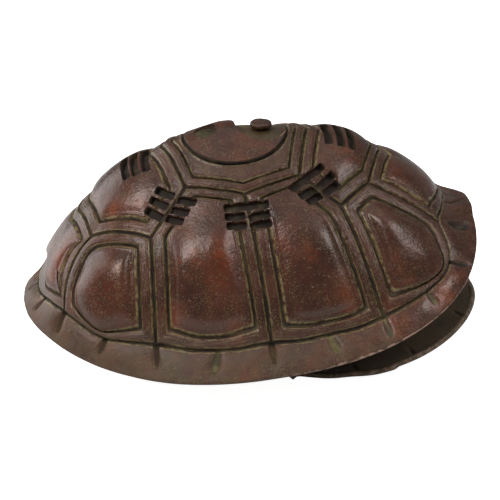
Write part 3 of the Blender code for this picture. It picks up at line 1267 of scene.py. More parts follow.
    def _swell(self, scute: Scute, plate: Points, edge_ring: Points, corners: list[int]) -> Points:
        """How far a plate's (rows, columns, 2) plan points stand over its edge.

        Args:
            scute: the plate's scute.
            plate: the plan points.
            edge_ring: (n, 2) the plate's closed edge.
            corners: index of each corner.

        Returns:
            (rows, columns) heights; a side plate also has the shell's shoulder, and drops below it.
        """
        away = self._from_edge(self.dome.surface(plate), self.dome.surface(edge_ring), corners,
                               scute.per_side(scute.ease, len(corners)))
        swell = scute.crown * (1 - (1 - np.minimum(away / scute.roll, 1.0)) ** self.crown_power)
        if not scute.on_midline:
            beside = np.abs(plate[..., 1]) - smooth_curve(self.shoulder, plate[..., 0])
            swell *= 1 - self.shoulder_drop * smooth_step(0.0, -self.shoulder_run, beside)
            swell += (self.shoulder_rise * np.exp(-(beside / self.shoulder_half_width) ** 2)
                      * smooth_step(0.0, scute.roll, away))
        return swell

    def _from_edge(self, points: Points, edge: Points, corners: list[int], ease: Sequence[float]) -> Points:
        """Distance of a plate's points from its edge, blended between its sides so that corners round off.

        Args:
            points: (rows, columns, 3) places.
            edge: (n, 3) the plate's closed edge.
            corners: index of each of its corners.
            ease: share of the distance from each side that counts.

        Returns:
            (rows, columns) distances.
        """
        spots = points.reshape(-1, 3)
        total = np.zeros(len(spots))
        for low, high, counts in zip(corners, corners[1:] + [corners[0] + len(edge)], ease):
            side = edge[np.arange(low, high + 1) % len(edge)]
            step = np.diff(side, axis=0)
            from_start = spots[:, None] - side[None, :-1]
            share = np.clip(np.sum(from_start * step, axis=2) / np.sum(step ** 2, axis=1), 0.0, 1.0)
            gap = np.linalg.norm(from_start - share[..., None] * step, axis=2).min(axis=1)
            total += np.maximum(gap * counts, self.least_distance) ** -self.corner_blend
        return (total ** (-1 / self.corner_blend)).reshape(points.shape[:2])

    def _seam_marks(self, depth: Points, columns: int) -> dict[Mark, Points]:
        """Marks of rows that run beside a seam.

        Args:
            depth: distance of each row from the seam.
            columns: number of columns.

        Returns:
            A (rows, columns) array for each mark.
        """
        wide = np.ones(columns)
        # Full in a seam's frame, where the grooves get painted shade over their dark patina, and nothing on
        # the plate.
        cut = np.interp(depth, [self.band_rows[-2][0], self.band_rows[-1][0]], [1.0, 0.0])
        return {Mark.SEAM: np.outer(np.maximum(SEAM_REACH - depth, 0.0), wide),
                Mark.CUT: np.outer(cut, wide), Mark.PLATE: np.outer(1 - cut, wide)}

    def _lay_scute(self, scute: Scute, plan: Points, lift: Points) -> bpy.types.Object:
        """Lifts a scute's rings onto the dome and lays them as one grid.

        Args:
            scute: the scute.
            plan: (rings, n, 2) its closed plan lines.
            lift: (rings, n) their lifts.

        Returns:
            Its grid; a midline scute has only the half at -y.
        """
        if scute.on_midline:
            half = plan.shape[1] // 2
            plan, lift = plan[:, :half + 1], lift[:, :half + 1]
            close_on_midline(plan)
        else:
            plan, lift = (np.concatenate([part, part[:, :1]], axis=1) for part in (plan, lift))
        points = self.dome.surface(plan, lift + cast_skin(self.dome.surface(plan), *self.skin))
        if scute.on_midline:
            close_on_midline(points)
        depth = np.full(len(plan), SEAM_REACH)
        depth[:len(self.band_rows)] = [row[0] for row in self.band_rows]
        marks = self._seam_marks(depth, plan.shape[1])
        return lay_grid(scute.name, points, {**marks, Mark.WARM: self._warmth(plan)})

    def _warmth(self, plan: Points) -> Points:
        """How orange the patina is.

        Args:
            plan: (..., 2) plan points.

        Returns:
            Values from 0 to 1.
        """
        warm = np.zeros(plan.shape[:-1])
        for x, y, radius, share in self.warm_spots:
            warm = np.maximum(warm, share * np.exp(-np.sum((plan - (x, y)) ** 2, axis=-1) / radius ** 2))
        return warm

    def _disc_frame(self, scute: Scute, rings: list[Points]) -> bpy.types.Object:
        """Lays the scute that carries the disc: its frame turns into the circular channel round the disc.

        Args:
            scute: the scute.
            rings: (n, 2) plan lines of its frame, from the seam inwards.

        Returns:
            One grid for the half at -y.
        """
        columns = len(rings[0]) // 2 + 1
        frame = [ring[:columns] for ring in rings[:self.frame_rows]]
        circles = [self.disc.point(np.full(columns, radius), self.disc.turns(columns - 1))
                   for radius, _lift in self.disc.ring]
        between = [frame[-1] * (1 - share) + circles[0] * share for share in self.channel_shares]
        plan = np.stack(frame + between + circles)
        close_on_midline(plan)
        lifts = [lift for _depth, lift in self.band_rows[:self.frame_rows - 1]]
        lifts += [self.channel_lift] * (1 + len(between)) + [lift for _radius, lift in self.disc.ring]
        lift = np.repeat(np.array(lifts)[:, None], columns, axis=1)
        points = self.dome.surface(plan, lift)
        close_on_midline(points)
        channel_edge = self.disc.ring[-2][0]
        depth = [row[0] for row in self.band_rows[:self.frame_rows]] + [SEAM_REACH] * len(between)
        depth += [max(radius - channel_edge, 0.0) for radius, _lift in self.disc.ring]
        marks = self._seam_marks(np.array(depth), columns)
        marks[Mark.CUT][self.frame_rows + len(between)] = 0.0
        marks[Mark.PLATE] *= self.channel_plate
        green = np.zeros(lift.shape)
        green[self.frame_rows:self.frame_rows + self.channel_green_rows] = self.channel_verdigris
        return lay_grid(scute.name, points, {**marks, Mark.VERDIGRIS: green})

    # -- marginal band, rim and inner wall

    def _margin(self) -> bpy.types.Object:
        """Lays the marginal band from its seam to the rim, round the rim's edge and up the inner wall.

        Returns:
            One grid for the half at -y.
        """
        band = self.plan.band
        count = len(band)
        anchors = [(0.0, 0.0)] + [(float(index), self._gouge_turn(index, gouge.outer))
                                  for index, gouge in self.plan.gouges[:-1]] + [(count - 1.0, -math.pi)]
        turns = smooth_curve(anchors, np.arange(count, dtype=float))
        rim = self.dome.rim_point(turns)
        rim[:, 0] -= self.tail_flare * smooth_step(*self.tail_flare_turns, turns)
        rim[[0, -1], 1] = 0.0
        width = np.linalg.norm(self.dome.surface(rim) - self.dome.surface(band), axis=1)
        head_rise = self.nuchal_rise * smooth_step(*self.nuchal_turns, np.abs(turns))
        share, lift = self._margin_grid(width)
        gouge, green, dark, pillow = self._gouge_field(share)
        swell = self.marginal_swell + self.tail_swell * smooth_step(*self.tail_swell_turns, turns)
        lift = lift - gouge + swell * pillow + head_rise[None] * smooth_step(*self.nuchal_shares, share)
        plan = blend(band, rim, share)
        close_on_midline(plan)
        lift[1:] += cast_skin(self.dome.surface(plan), *self.margin_skin)[1:]
        outer = self.dome.surface(plan, lift)
        points = np.concatenate([outer, *self._rim_and_wall(plan, outer, rim, head_rise)])
        close_on_midline(points)
        from_seam = np.minimum(share * width[None], SEAM_REACH)
        # Painted shade beside the band's seam and in the dark gouges between the marginals.
        beside = np.maximum(np.interp(from_seam, self.margin_shadow, [1.0, 0.0]), dark)
        from_seam = from_seam * (1 - smooth_step(0.0, self.gouge_shadow, dark))
        marks = {Mark.VERDIGRIS: (green, self.inner_verdigris), Mark.SEAM: (SEAM_REACH - from_seam, 0.0),
                 Mark.CUT: (beside, 0.0), Mark.WEAR_AND_GLINT: (np.zeros(share.shape), 0.0),
                 Mark.PLATE: (np.full(share.shape, self.margin_plate), 0.0),
                 Mark.WARM: (self._warmth(plan), 0.0)}
        rest = len(points) - len(share)
        whole = {mark: np.concatenate([values, np.full((rest, count), beyond)])
                 for mark, (values, beyond) in marks.items()}
        # The rim's rounded edge gets a pale painted highlight, stronger towards the head.
        low_highlight, more_highlight = self.lip_highlight
        whole[Mark.WEAR_AND_GLINT][len(share):len(share) + self.lip_highlight_rows] = (
            low_highlight + more_highlight * smooth_step(*self.lip_highlight_turns, turns))
        return lay_grid("margin", points, whole)

    def _margin_grid(self, width: Points) -> tuple[Points, Points]:
        """The marginal band's rows.

        Args:
            width: the band's width in each column.

        Returns:
            Their way from the seam, 0, to the rim, 1, and their lift, both (rows, columns).
        """
        shares = [distance / width for distance, _lift in self.margin_rows]
        lifts = [lift for _distance, lift in self.margin_rows]
        first, last = shares[-1], 1 - self.lip_start * self.lip_radius / width
        for step in np.linspace(0.0, 1.0, self.margin_even_rows + 1)[1:]:
            shares.append(first * (1 - step) + last * step)
            lifts.append(self.margin_crown * math.sin(math.pi * step))
        return np.stack(shares), np.repeat(np.array(lifts)[:, None], len(width), axis=1)

    def _gouge_turn(self, index: int, outer: Pair) -> float:
        """Turn at which a marginal seam, carried on through its outer end, meets the rim.

        Args:
            index: the band's point that the seam leaves.
            outer: its outer end in plan.

        Returns:
            The turn in radians, on the -y side.
        """
        inner = self.plan.band[index]
        reach = np.linspace(*self.rim_search)
        line = inner[None] + (np.array(outer) - inner)[None] * reach[:, None]
        outside = np.abs(line[:, 1]) - self.dome.rim_half_width(line[:, 0])
        crossing = line[int(np.argmin(np.abs(outside)))]
        return -abs(float(self.dome.turn_of(crossing)))

    def _gouge_field(self, share: Points) -> tuple[Points, Points, Points, Points]:
        """Depth, verdigris and shadow of the short cuts between the marginals, and how each marginal swells.

        Args:
            share: (rows, columns) way from the band's seam, 0, to the rim, 1.

        Returns:
            Depth in millimetres, then verdigris, shadow and swell from 0 to 1, each (rows, columns).
        """
        along = run_along(self.plan.band)
        depth, green, dark = np.zeros(share.shape), np.zeros(share.shape), np.zeros(share.shape)
        for index, gouge in self.plan.gouges:
            profile, mask = gouge.profile(np.abs(along - along[index])[None], share)
            depth = np.maximum(depth, gouge.depth * profile)
            green = np.maximum(green, gouge.green * mask * gouge.pale)
            dark = np.maximum(dark, mask * (1 - gouge.pale))
        ends = along[[index for index, _gouge in self.plan.gouges]]
        apart = np.min(np.abs(along[:, None] - ends[None]), axis=1)
        pillow = smooth_step(0.0, self.marginal_run, apart)[None]
        for low, high in self.marginal_shares:
            pillow = pillow * smooth_step(low, high, share)
        return depth, np.clip(green, 0.0, 1.0), dark, pillow

    def _rim_and_wall(self, plan: Points, outer: Points, rim: Points,
                      head_rise: Points) -> tuple[Points, Points]:
        """Rounds the rim's edge and carries the wall up inside to the middle of the dome.

        Args:
            plan: (rows, columns, 2) the band's plan points.
            outer: (rows, columns, 3) the band's points.
            rim: (columns, 2) the rim in plan.
            head_rise: how far the rim is raised in each column.

        Returns:
            The rim's rounded rows and the inner wall's rows.
        """
        start, wall = plan[-1], self.dome.wall
        normal = self.dome.normals(start)
        outward = self.dome.surface(rim) - self.dome.surface(start)
        outward = unit(outward - normal * np.sum(outward * normal, axis=1, keepdims=True))
        lip = []
        for depth, turns in ((self.lip_radius, self.lip_outer_turns),
                             (wall - self.lip_radius, self.lip_inner_turns)):
            centre = outer[-1] - normal * depth
            lip += [centre + self.lip_radius * (normal * math.cos(turn) + outward * math.sin(turn))
                    for turn in np.radians(turns)]
        inner = []
        for share in np.linspace(0.0, 1.0, self.inner_rows + 1)[1:] ** self.inner_row_power:
            thick = wall + (self.inner_wall - wall) * min(share / self.inner_wall_by, 1.0)
            rise = head_rise * max(1 - share / self.inner_rise_by, 0.0)
            inner.append(self.dome.surface(start * (1 - share), rise - thick))
        return np.stack(lip), np.stack(inner)


# --- the plastron


@dataclass
class Plastron:
    """The belly casting: a flat plate with an upturned front lobe, and a wing up to the rim on each side.

    Rows of its faces are close together by the spine and by the edge. Seams are pairs of places along the
    shell: where each leaves the spine, and where it meets the outline. Wear and verdigris are given for the
    lower face, the edge and the upper face.
    """

    dome: Dome
    front: float = 68.3
    rear: float = -54.0
    thickness: float = 1.6
    lobe_half_width: float = 34.6
    waist_half_width: float = 31.0
    waist_front: float = 4.0
    lobe_full_from: float = 22.0
    front_lobe_start: float = 28.0
    rear_lobe_start: float = -12.0
    notch_depth: float = 4.0
    notch_half_width: float = 8.0
    notch_run: float = 12.0
    edge_rise: float = 0.9
    edge_band: float = 4.0
    upturn_start: float = 15.6
    upturn_rise: float = 9.2
    upturn_length: float = 52.0
    bridge_front: float = 5.0
    bridge_rear: float = -29.0
    bridge_end_slant: float = 6.0
    bridge_slope: float = 1.15
    bridge_bend: float = 1.2
    bridge_run: Pair = (-5.0, -1.0)
    bridge_overlap: float = 0.2
    bridge_search: int = 24
    step_x: float = 38.6
    step_out: float = 0.9
    step_half_run: float = 0.8
    step_run: Pair = (24.0, 33.0)
    seams: tuple[Pair, ...] = (
        (56.0, 62.0), (41.5, 44.5), (24.0, 27.5), (-4.0, 1.0), (-27.0, -31.5), (-39.0, -45.0))
    seam_depth: float = 0.55
    seam_half_width: float = 0.75
    spine_ends: Pair = (50.0, -44.0)
    spine_half_width: float = 0.9
    seam_edge_run: Pair = (-0.5, 1.5)
    top_seam_depth: float = 0.5
    top_seam_run: Pair = (6.5, 4.0)
    lip_rise: float = 0.30
    lip_run: Pair = (4.3, 3.4)
    worn_run: Pair = (4.4, 3.3)
    skin: float = 0.12
    skin_run: float = 0.6
    edge_roundness: float = 0.75
    edge_turns: tuple[int, ...] = (30, 60, 90, 120, 150)
    spine_rows: tuple[float, ...] = (0.0, 0.35, 0.75, 1.2, 2.0)
    edge_rows: tuple[float, ...] = (3.6, 2.2, 1.1, 0.4, 0.0)
    middle_rows: int = 10
    row_limit: float = 0.3
    column_step: float = 1.05
    seam_stations: tuple[float, ...] = (-1.3, -0.8, -0.4, 0.0, 0.4, 0.8, 1.3)
    seam_clearance: float = 1.45
    trace_points: int = 1200
    slope_step: float = 0.1
    verdigris: Place = (0.9, 0.15, 0.5)
    least_top_verdigris: float = 0.3
    worn: Place = (0.2, 0.45, 0.3)
    plate: Pair = (0.4, 0.5)
    sharp_from: float = 50.0

    def half_width(self, x: Points) -> Points:
        """Half width of the plate, without its bridges.

        Args:
            x: places along the shell.

        Returns:
            Half widths.
        """
        widening = smooth_step(self.waist_front, self.lobe_full_from, x)
        half = self.waist_half_width + (self.lobe_half_width - self.waist_half_width) * widening
        front = np.maximum((x - self.front_lobe_start) / (self.front - self.front_lobe_start), 0.0)
        rear = np.maximum((x - self.rear_lobe_start) / (self.rear - self.rear_lobe_start), 0.0)
        half = half * np.sqrt(1 - np.minimum(front + rear, 1.0) ** 2)
        step = smooth_step(self.step_x + self.step_half_run, self.step_x - self.step_half_run, x)
        return half + self.step_out * step * smooth_step(*self.step_run, x)

    def bridge_share(self, x: Points) -> Points:
        """Where the bridges are.

        Args:
            x: places along the shell.

        Returns:
            1 along the bridges and 0 along the lobes.
        """
        front = smooth_step(0.0, 1.0, (self.bridge_front + self.bridge_end_slant - x) / self.bridge_end_slant)
        rear = smooth_step(0.0, 1.0, (x - self.bridge_rear + self.bridge_end_slant) / self.bridge_end_slant)
        return front * rear

    def bridge_reach(self, x: Points) -> Points:
        """How far a wing runs out past the plate before it meets the dome's inner face.

        Args:
            x: places along the shell.

        Returns:
            Distances across the shell.
        """
        flat = self.half_width(x)
        low, high = np.zeros_like(x), self.dome.half_width - flat
        for _ in range(self.bridge_search):
            middle = (low + high) / 2
            steep = np.sqrt(1 + np.sum(self.dome.slopes(np.stack([x, flat + middle], axis=-1)) ** 2, axis=-1))
            ceiling = self.dome.height(x, flat + middle) - (self.dome.wall - self.bridge_overlap) * steep
            under = middle * self.bridge_slope < ceiling
            low, high = np.where(under, middle, low), np.where(under, high, middle)
        return low

    def lower_height(self, plan: Points) -> Points:
        """Height of the plate's lower face, without its seams.

        Args:
            plan: (..., 2) plan points.

        Returns:
            Heights above the ground.
        """
        x, y = plan[..., 0], np.abs(plan[..., 1])
        lift = self.upturn_rise * np.maximum((x - self.upturn_start) / self.upturn_length, 0.0) ** 2
        past = y - self.half_width(x)
        bridge = self.bridge_share(x)
        wing = (past + np.sqrt(past ** 2 + self.bridge_bend ** 2)) / 2 * smooth_step(*self.bridge_run, past)
        inside = np.clip(1 + past / self.edge_band, 0.0, 1.0)
        return lift + self.bridge_slope * wing * bridge + self.edge_rise * inside ** 2 * (1 - bridge)

    def _normals(self, plan: Points) -> Points:
        """Upward normals of the lower face.

        Args:
            plan: (..., 2) plan points.

        Returns:
            (..., 3) normals.
        """
        slopes = [(self.lower_height(plan + step) - self.lower_height(plan - step)) / (2 * self.slope_step)
                  for step in self.slope_step * np.eye(2)]
        return unit(np.stack([-slopes[0], -slopes[1], np.ones_like(slopes[0])], axis=-1))

    def _outline(self) -> tuple[Points, Points, Points]:
        """The plate's outline and spine, from the head round the -y side to the tail.

        Returns:
            (n, 2) outline, (n, 2) spine, and the distance of each column from its nearest seam.
        """
        turn = np.linspace(0.0, math.pi, self.trace_points)
        x = (self.front + self.rear) / 2 + (self.front - self.rear) / 2 * np.cos(turn)
        y = -(self.half_width(x) + self.bridge_reach(x) * self.bridge_share(x))
        y[[0, -1]] = 0.0
        drawn_in = smooth_step(0.0, 1.0, (self.rear + self.notch_run - x) / self.notch_run)
        x = x + self.notch_depth * drawn_in * np.maximum(1 - np.abs(y) / self.notch_half_width, 0.0)
        line = np.stack([x, y], axis=1)
        along = run_along(line)
        meets = [along[int(np.argmin(np.abs(x - outer)))] for _inner, outer in self.seams]
        ends = (0.0, round(float(along[-1]), 4))
        stops = set(np.linspace(0.0, along[-1], int(along[-1] / self.column_step)).round(4))
        for meet in meets:
            stops = {stop for stop in stops if abs(stop - meet) > self.seam_clearance or stop in ends}
            stops |= {round(float(meet + offset), 4) for offset in self.seam_stations}
        places = np.array(sorted(stops))
        anchors = [(0.0, self.spine_ends[0]), *zip(meets, (inner for inner, _outer in self.seams)),
                   (along[-1], self.spine_ends[1])]
        spine_x = np.interp(places, [at for at, _x in anchors], [x for _at, x in anchors])
        away = np.min(np.abs(places[:, None] - np.array(meets)[None]), axis=1)
        return straight_path(along, line, places), np.stack([spine_x, np.zeros_like(spine_x)], axis=1), away

    def build(self) -> bpy.types.Object:
        """Lays the lower face, the rounded edge and the upper face as one grid, and mirrors it.

        Returns:
            The finished piece, in the shared frame.
        """
        outline, spine, away = self._outline()
        width = np.linalg.norm(outline - spine, axis=1)
        near = [np.minimum(distance / width, self.row_limit) for distance in self.spine_rows]
        far = [1 - np.minimum(distance / width, self.row_limit) for distance in self.edge_rows]
        share = fill_between(near, far, self.middle_rows)
        plan = blend(spine, outline, share)
        from_edge = (1 - share) * width
        beside = np.clip(1 - (away[None] / self.seam_half_width) ** 2, 0.0, 1.0)
        along_spine = np.clip(1 - (share * width / self.spine_half_width) ** 2, 0.0, 1.0)
        seam = np.maximum(beside * smooth_step(*self.seam_edge_run, from_edge), along_spine)
        normal = self._normals(plan)
        ground = np.concatenate([plan, self.lower_height(plan)[..., None]], axis=-1)
        rough = unevenness(ground.reshape(-1, 3), SWELLING, self.skin).reshape(share.shape)
        raised = smooth_step(0.0, self.skin_run, from_edge)
        lip = self.lip_rise * smooth_step(*self.lip_run, from_edge) * (1 - self.bridge_share(plan[..., 0]))
        top_seam = self.top_seam_depth * beside * smooth_step(*self.top_seam_run, from_edge)
        lower = ground + normal * ((np.maximum(rough, 0.0) + self.seam_depth * seam) * raised)[..., None]
        upper = ground + normal * (self.thickness + (lip - top_seam + rough) * raised)[..., None]
        edge = self._edge(outline - spine, ground[-1], normal[-1])
        points = np.concatenate([lower, edge, upper[::-1]])
        points[..., 2] = np.maximum(points[..., 2], 0.0)
        close_on_midline(points)
        points[[0, -1], :, 1] = 0.0
        band = smooth_step(*self.worn_run, from_edge)
        green, worn, plate = self.verdigris, self.worn, self.plate
        top_green = np.maximum(seam * green[2], self.least_top_verdigris)
        marks = {Mark.VERDIGRIS: (seam * green[0], green[1], top_green),
                 Mark.WEAR_AND_GLINT: (band * worn[0], worn[1], band * worn[2]),
                 Mark.PLATE: (np.full(share.shape, plate[0]), plate[1], band)}
        tile = lay_grid("plastron_plate", points, {
            mark: np.concatenate([below, np.full(edge.shape[:2], on_edge), above[::-1]])
            for mark, (below, on_edge, above) in marks.items()})
        half_plate = weld("plastron_plate", [tile], turn_out=False)
        mirror_across(half_plate)
        piece = weld("plastron_plate", [half_plate])
        settle(piece, self.sharp_from)
        return piece

    def _edge(self, outwards: Points, foot: Points, normal: Points) -> Points:
        """Rows of the rounded edge between the two faces.

        Args:
            outwards: (n, 2) plan directions out of the plate.
            foot: (n, 3) the lower face's last row.
            normal: (n, 3) upward normals there.

        Returns:
            (rows, n, 3) points.
        """
        half = self.thickness / 2
        outward = np.concatenate([outwards, np.zeros((len(outwards), 1))], axis=1)
        outward = unit(outward - normal * np.sum(outward * normal, axis=1, keepdims=True))
        centre = foot + normal * half
        return np.stack([centre + half * (-normal * math.cos(t) + self.edge_roundness * outward * math.sin(t))
                         for t in np.radians(self.edge_turns)])


@dataclass
class Knob:
    """The raised button on the disc's low head."""

    dome: Dome
    x: float = 4.0
    radius: float = 3.05
    half_height: float = 0.75
    middle_height: float = 0.6
    foot: float = 2.0
    flatness: float = 0.62
    lump: float = 0.15
    lump_scale: float = 1.1
    lump_shift: Place = (3.0, 1.0, 7.0)
    dish: float = 0.12
    dish_ahead: float = 0.3
    dish_spread: float = 0.22
    segments: int = 56
    rings: int = 28
    verdigris: float = 0.05
    worn: float = 0.25
    plate: float = 0.8
    sharp_from: float = 60.0

    def build(self) -> bpy.types.Object:
        """Models the knob as a flat, lumpy pebble with a shallow dish towards the head.

        Returns:
            The finished piece, in the shared frame.
        """
        ground = float(self.dome.height(np.array(self.x), np.array(0.0)))
        middle = Vector((self.x, 0.0, ground + self.middle_height))
        deselect_all()
        bpy.ops.mesh.primitive_uv_sphere_add(segments=self.segments, ring_count=self.rings, radius=1.0)
        knob = bpy.context.active_object
        knob.name = "knob"
        for vert in knob.data.vertices:
            spot = vert.co.copy()
            swell = 1 + self.lump * noise.noise(spot * self.lump_scale + Vector(self.lump_shift))
            from_dish = ((spot.x - self.dish_ahead) ** 2 + spot.y ** 2) / self.dish_spread
            flat = math.copysign(abs(spot.z) ** self.flatness, spot.z) * (self.foot if spot.z < 0 else 1.0)
            flat -= self.dish * math.exp(-from_dish) * max(spot.z, 0.0)
            size = Vector((spot.x * self.radius, spot.y * self.radius, flat * self.half_height))
            vert.co = (middle + size * swell) * MM
        write_marks(knob, {Mark.VERDIGRIS: self.verdigris, Mark.WEAR_AND_GLINT: self.worn, Mark.PLATE: self.plate})
        settle(knob, self.sharp_from)
        return knob


# --- finishes


@dataclass(frozen=True)
class Noise:
    """One soft noise: grain in millimetres, octaves, shift, roughness, and the values it fades between."""

    grain: float
    detail: float
    shift: float
    rough: float = 0.55
    fade: Pair = (0.0, 1.0)


@dataclass
class Wiring:
    """Lays shader nodes out in one tree; inputs are a value to set or a socket to link."""

    tree: bpy.types.NodeTree

    def feed(self, item: bpy.types.Node, inputs: dict[str | int, object]) -> None:
        """Sets or links a node's inputs.

        Args:
            item: the node.
            inputs: values or sockets by input name or number.
        """
        for key, value in inputs.items():
            if isinstance(value, bpy.types.NodeSocket):
                self.tree.links.new(value, item.inputs[key])
            else:
                item.inputs[key].default_value = value

    def node(self, kind: str, inputs: dict[str | int, object], **settings: object) -> bpy.types.Node:
        """Adds a node.

        Args:
            kind: the node's type name.
            inputs: values or sockets by input name or number.
            settings: properties of the node.

        Returns:
            The node.
        """
        item = self.tree.nodes.new(kind)
        for name, value in settings.items():
            setattr(item, name, value)
        self.feed(item, inputs)
        return item

    def math(self, operation: str, *values: object, clamp: bool = False) -> bpy.types.NodeSocket:
        """Adds a math node and gives its output."""
        item = self.node("ShaderNodeMath", dict(enumerate(values)), operation=operation, use_clamp=clamp)
        return item.outputs[0]

    def times(self, first: object, second: object) -> bpy.types.NodeSocket:
        """Adds a product and gives its output."""
        return self.math("MULTIPLY", first, second)

    def total(self, *terms: tuple[object, float]) -> bpy.types.NodeSocket:
        """Adds a weighted sum.

        Args:
            terms: each value or socket, and its amount.

        Returns:
            The sum's socket.
        """
        result = self.times(*terms[0])
        for term in terms[1:]:
            result = self.math("ADD", result, self.times(*term))
        return result

    def noise(self, vector: object, kind: Noise) -> bpy.types.NodeSocket:
        """Adds soft noise over millimetre coordinates.

        Args:
            vector: the coordinates.
            kind: the noise.

        Returns:
            Its value's socket.
        """
        shift = (kind.shift, kind.shift * NOISE_SKEW, -kind.shift)
        place =self.node("ShaderNodeVectorMath", {0: vector, 1: shift}, operation="ADD").outputs[0]
        inputs = {"Vector": place, "Scale": 1 / kind.grain, "Detail": kind.detail, "Roughness": kind.rough}
        return self.node("ShaderNodeTexNoise", inputs).outputs["Fac"]

    def patches(self, vector: object, kind: Noise) -> bpy.types.NodeSocket:
        """Adds the mask that a noise makes where it fades from one value to another."""
        return self.band(self.noise(vector, kind), kind.fade)

    def band(self, value: object, fade: Pair) -> bpy.types.NodeSocket:
        """Adds a smooth step between two values and gives its result."""
        inputs = {"Value": value, "From Min": fade[0], "From Max": fade[1]}
        return self.node("ShaderNodeMapRange", inputs, interpolation_type="SMOOTHSTEP").outputs["Result"]

    def mix(self, share: object, low: object, high: object) -> bpy.types.NodeSocket:
        """Adds a colour mix and gives its result."""
        return self.node("ShaderNodeMix", {0: share, 6: low, 7: high}, data_type="RGBA").outputs[2]

    def group(self, tree: bpy.types.NodeTree, inputs: dict[str, object]) -> bpy.types.Node:
        """Adds a node group."""
        return self.node("ShaderNodeGroup", inputs, node_tree=tree)


def new_group(name: str, inputs: dict[str, str],
              outputs: dict[str, str]) -> tuple[Wiring, dict[str, bpy.types.NodeSocket], bpy.types.Node]:
    """Makes an empty node group.

    Args:
        name: the group's name.
        inputs: kind of each named input, "Float", "Vector" or "Color".
        outputs: kind of each named output.

    Returns:
        Its wiring, its inputs' sockets by name, and its output node.
    """
    tree = bpy.data.node_groups.new(name, "ShaderNodeTree")
    for direction, sockets in (("INPUT", inputs), ("OUTPUT", outputs)):
        for label, kind in sockets.items():
            tree.interface.new_socket(label, in_out=direction, socket_type=f"NodeSocket{kind}")
    entry, result = tree.nodes.new("NodeGroupInput"), tree.nodes.new("NodeGroupOutput")
    return Wiring(tree), {label: entry.outputs[label] for label in inputs}, result


@dataclass(frozen=True)
class CastSurface:
    """Clouds, patches, specks and pits of old cast metal."""

    outputs: tuple[str, ...] = ("Cloud", "Patch", "Grain", "Specks", "Height")
    clouds: Noise = Noise(9.0, 6.0, 0.0, 0.65, (0.32, 0.68))
    red_patches: Noise = Noise(13.0, 6.0, 31.0, 0.7, (0.50, 0.66))
    grains: Noise = Noise(0.42, 2.0, 23.0, fade=(0.50, 0.68))
    grain_fields: Noise = Noise(5.0, 3.0, 61.0, fade=(0.34, 0.60))
    speck_chance: Noise = Noise(0.37, 0.0, 11.0, fade=(0.55, 0.62))
    specks_per_mm: float = 1.25
    speck_edge: Pair = (0.26, 0.12)
    fine: Noise = Noise(0.75, 3.0, 7.0, 0.6)
    dents: Noise = Noise(4.0, 2.0, 17.0)
    pits: Noise = Noise(1.6, 2.0, 53.0, fade=(0.36, 0.25))
    fine_height: float = 0.7
    dent_height: float = 1.0
    pit_height: float = -0.5
    speck_height: float = 0.3

    def group(self) -> bpy.types.NodeTree:
        """Makes its node group, over millimetre coordinates.

        Returns:
            The group's tree.
        """
        wires, given, result = new_group("cast_surface", {"Place": "Vector"},
                                         dict.fromkeys(self.outputs, "Float"))
        place = given["Place"]
        grain = wires.times(wires.patches(place, self.grains), wires.patches(place, self.grain_fields))
        cells = wires.node("ShaderNodeTexVoronoi",
                           {"Vector": place, "Scale": self.specks_per_mm, "Randomness": 1.0}).outputs
        specks = wires.times(wires.band(cells["Distance"], self.speck_edge),
                             wires.patches(cells["Position"], self.speck_chance))
        height = wires.total((wires.noise(place, self.fine), self.fine_height),
                             (wires.noise(place, self.dents), self.dent_height),
                             (wires.patches(place, self.pits), self.pit_height), (specks, self.speck_height))
        wires.feed(result, {"Cloud": wires.patches(place, self.clouds),
                            "Patch": wires.patches(place, self.red_patches),
                            "Grain": grain, "Specks": specks, "Height": height})
        return wires.tree


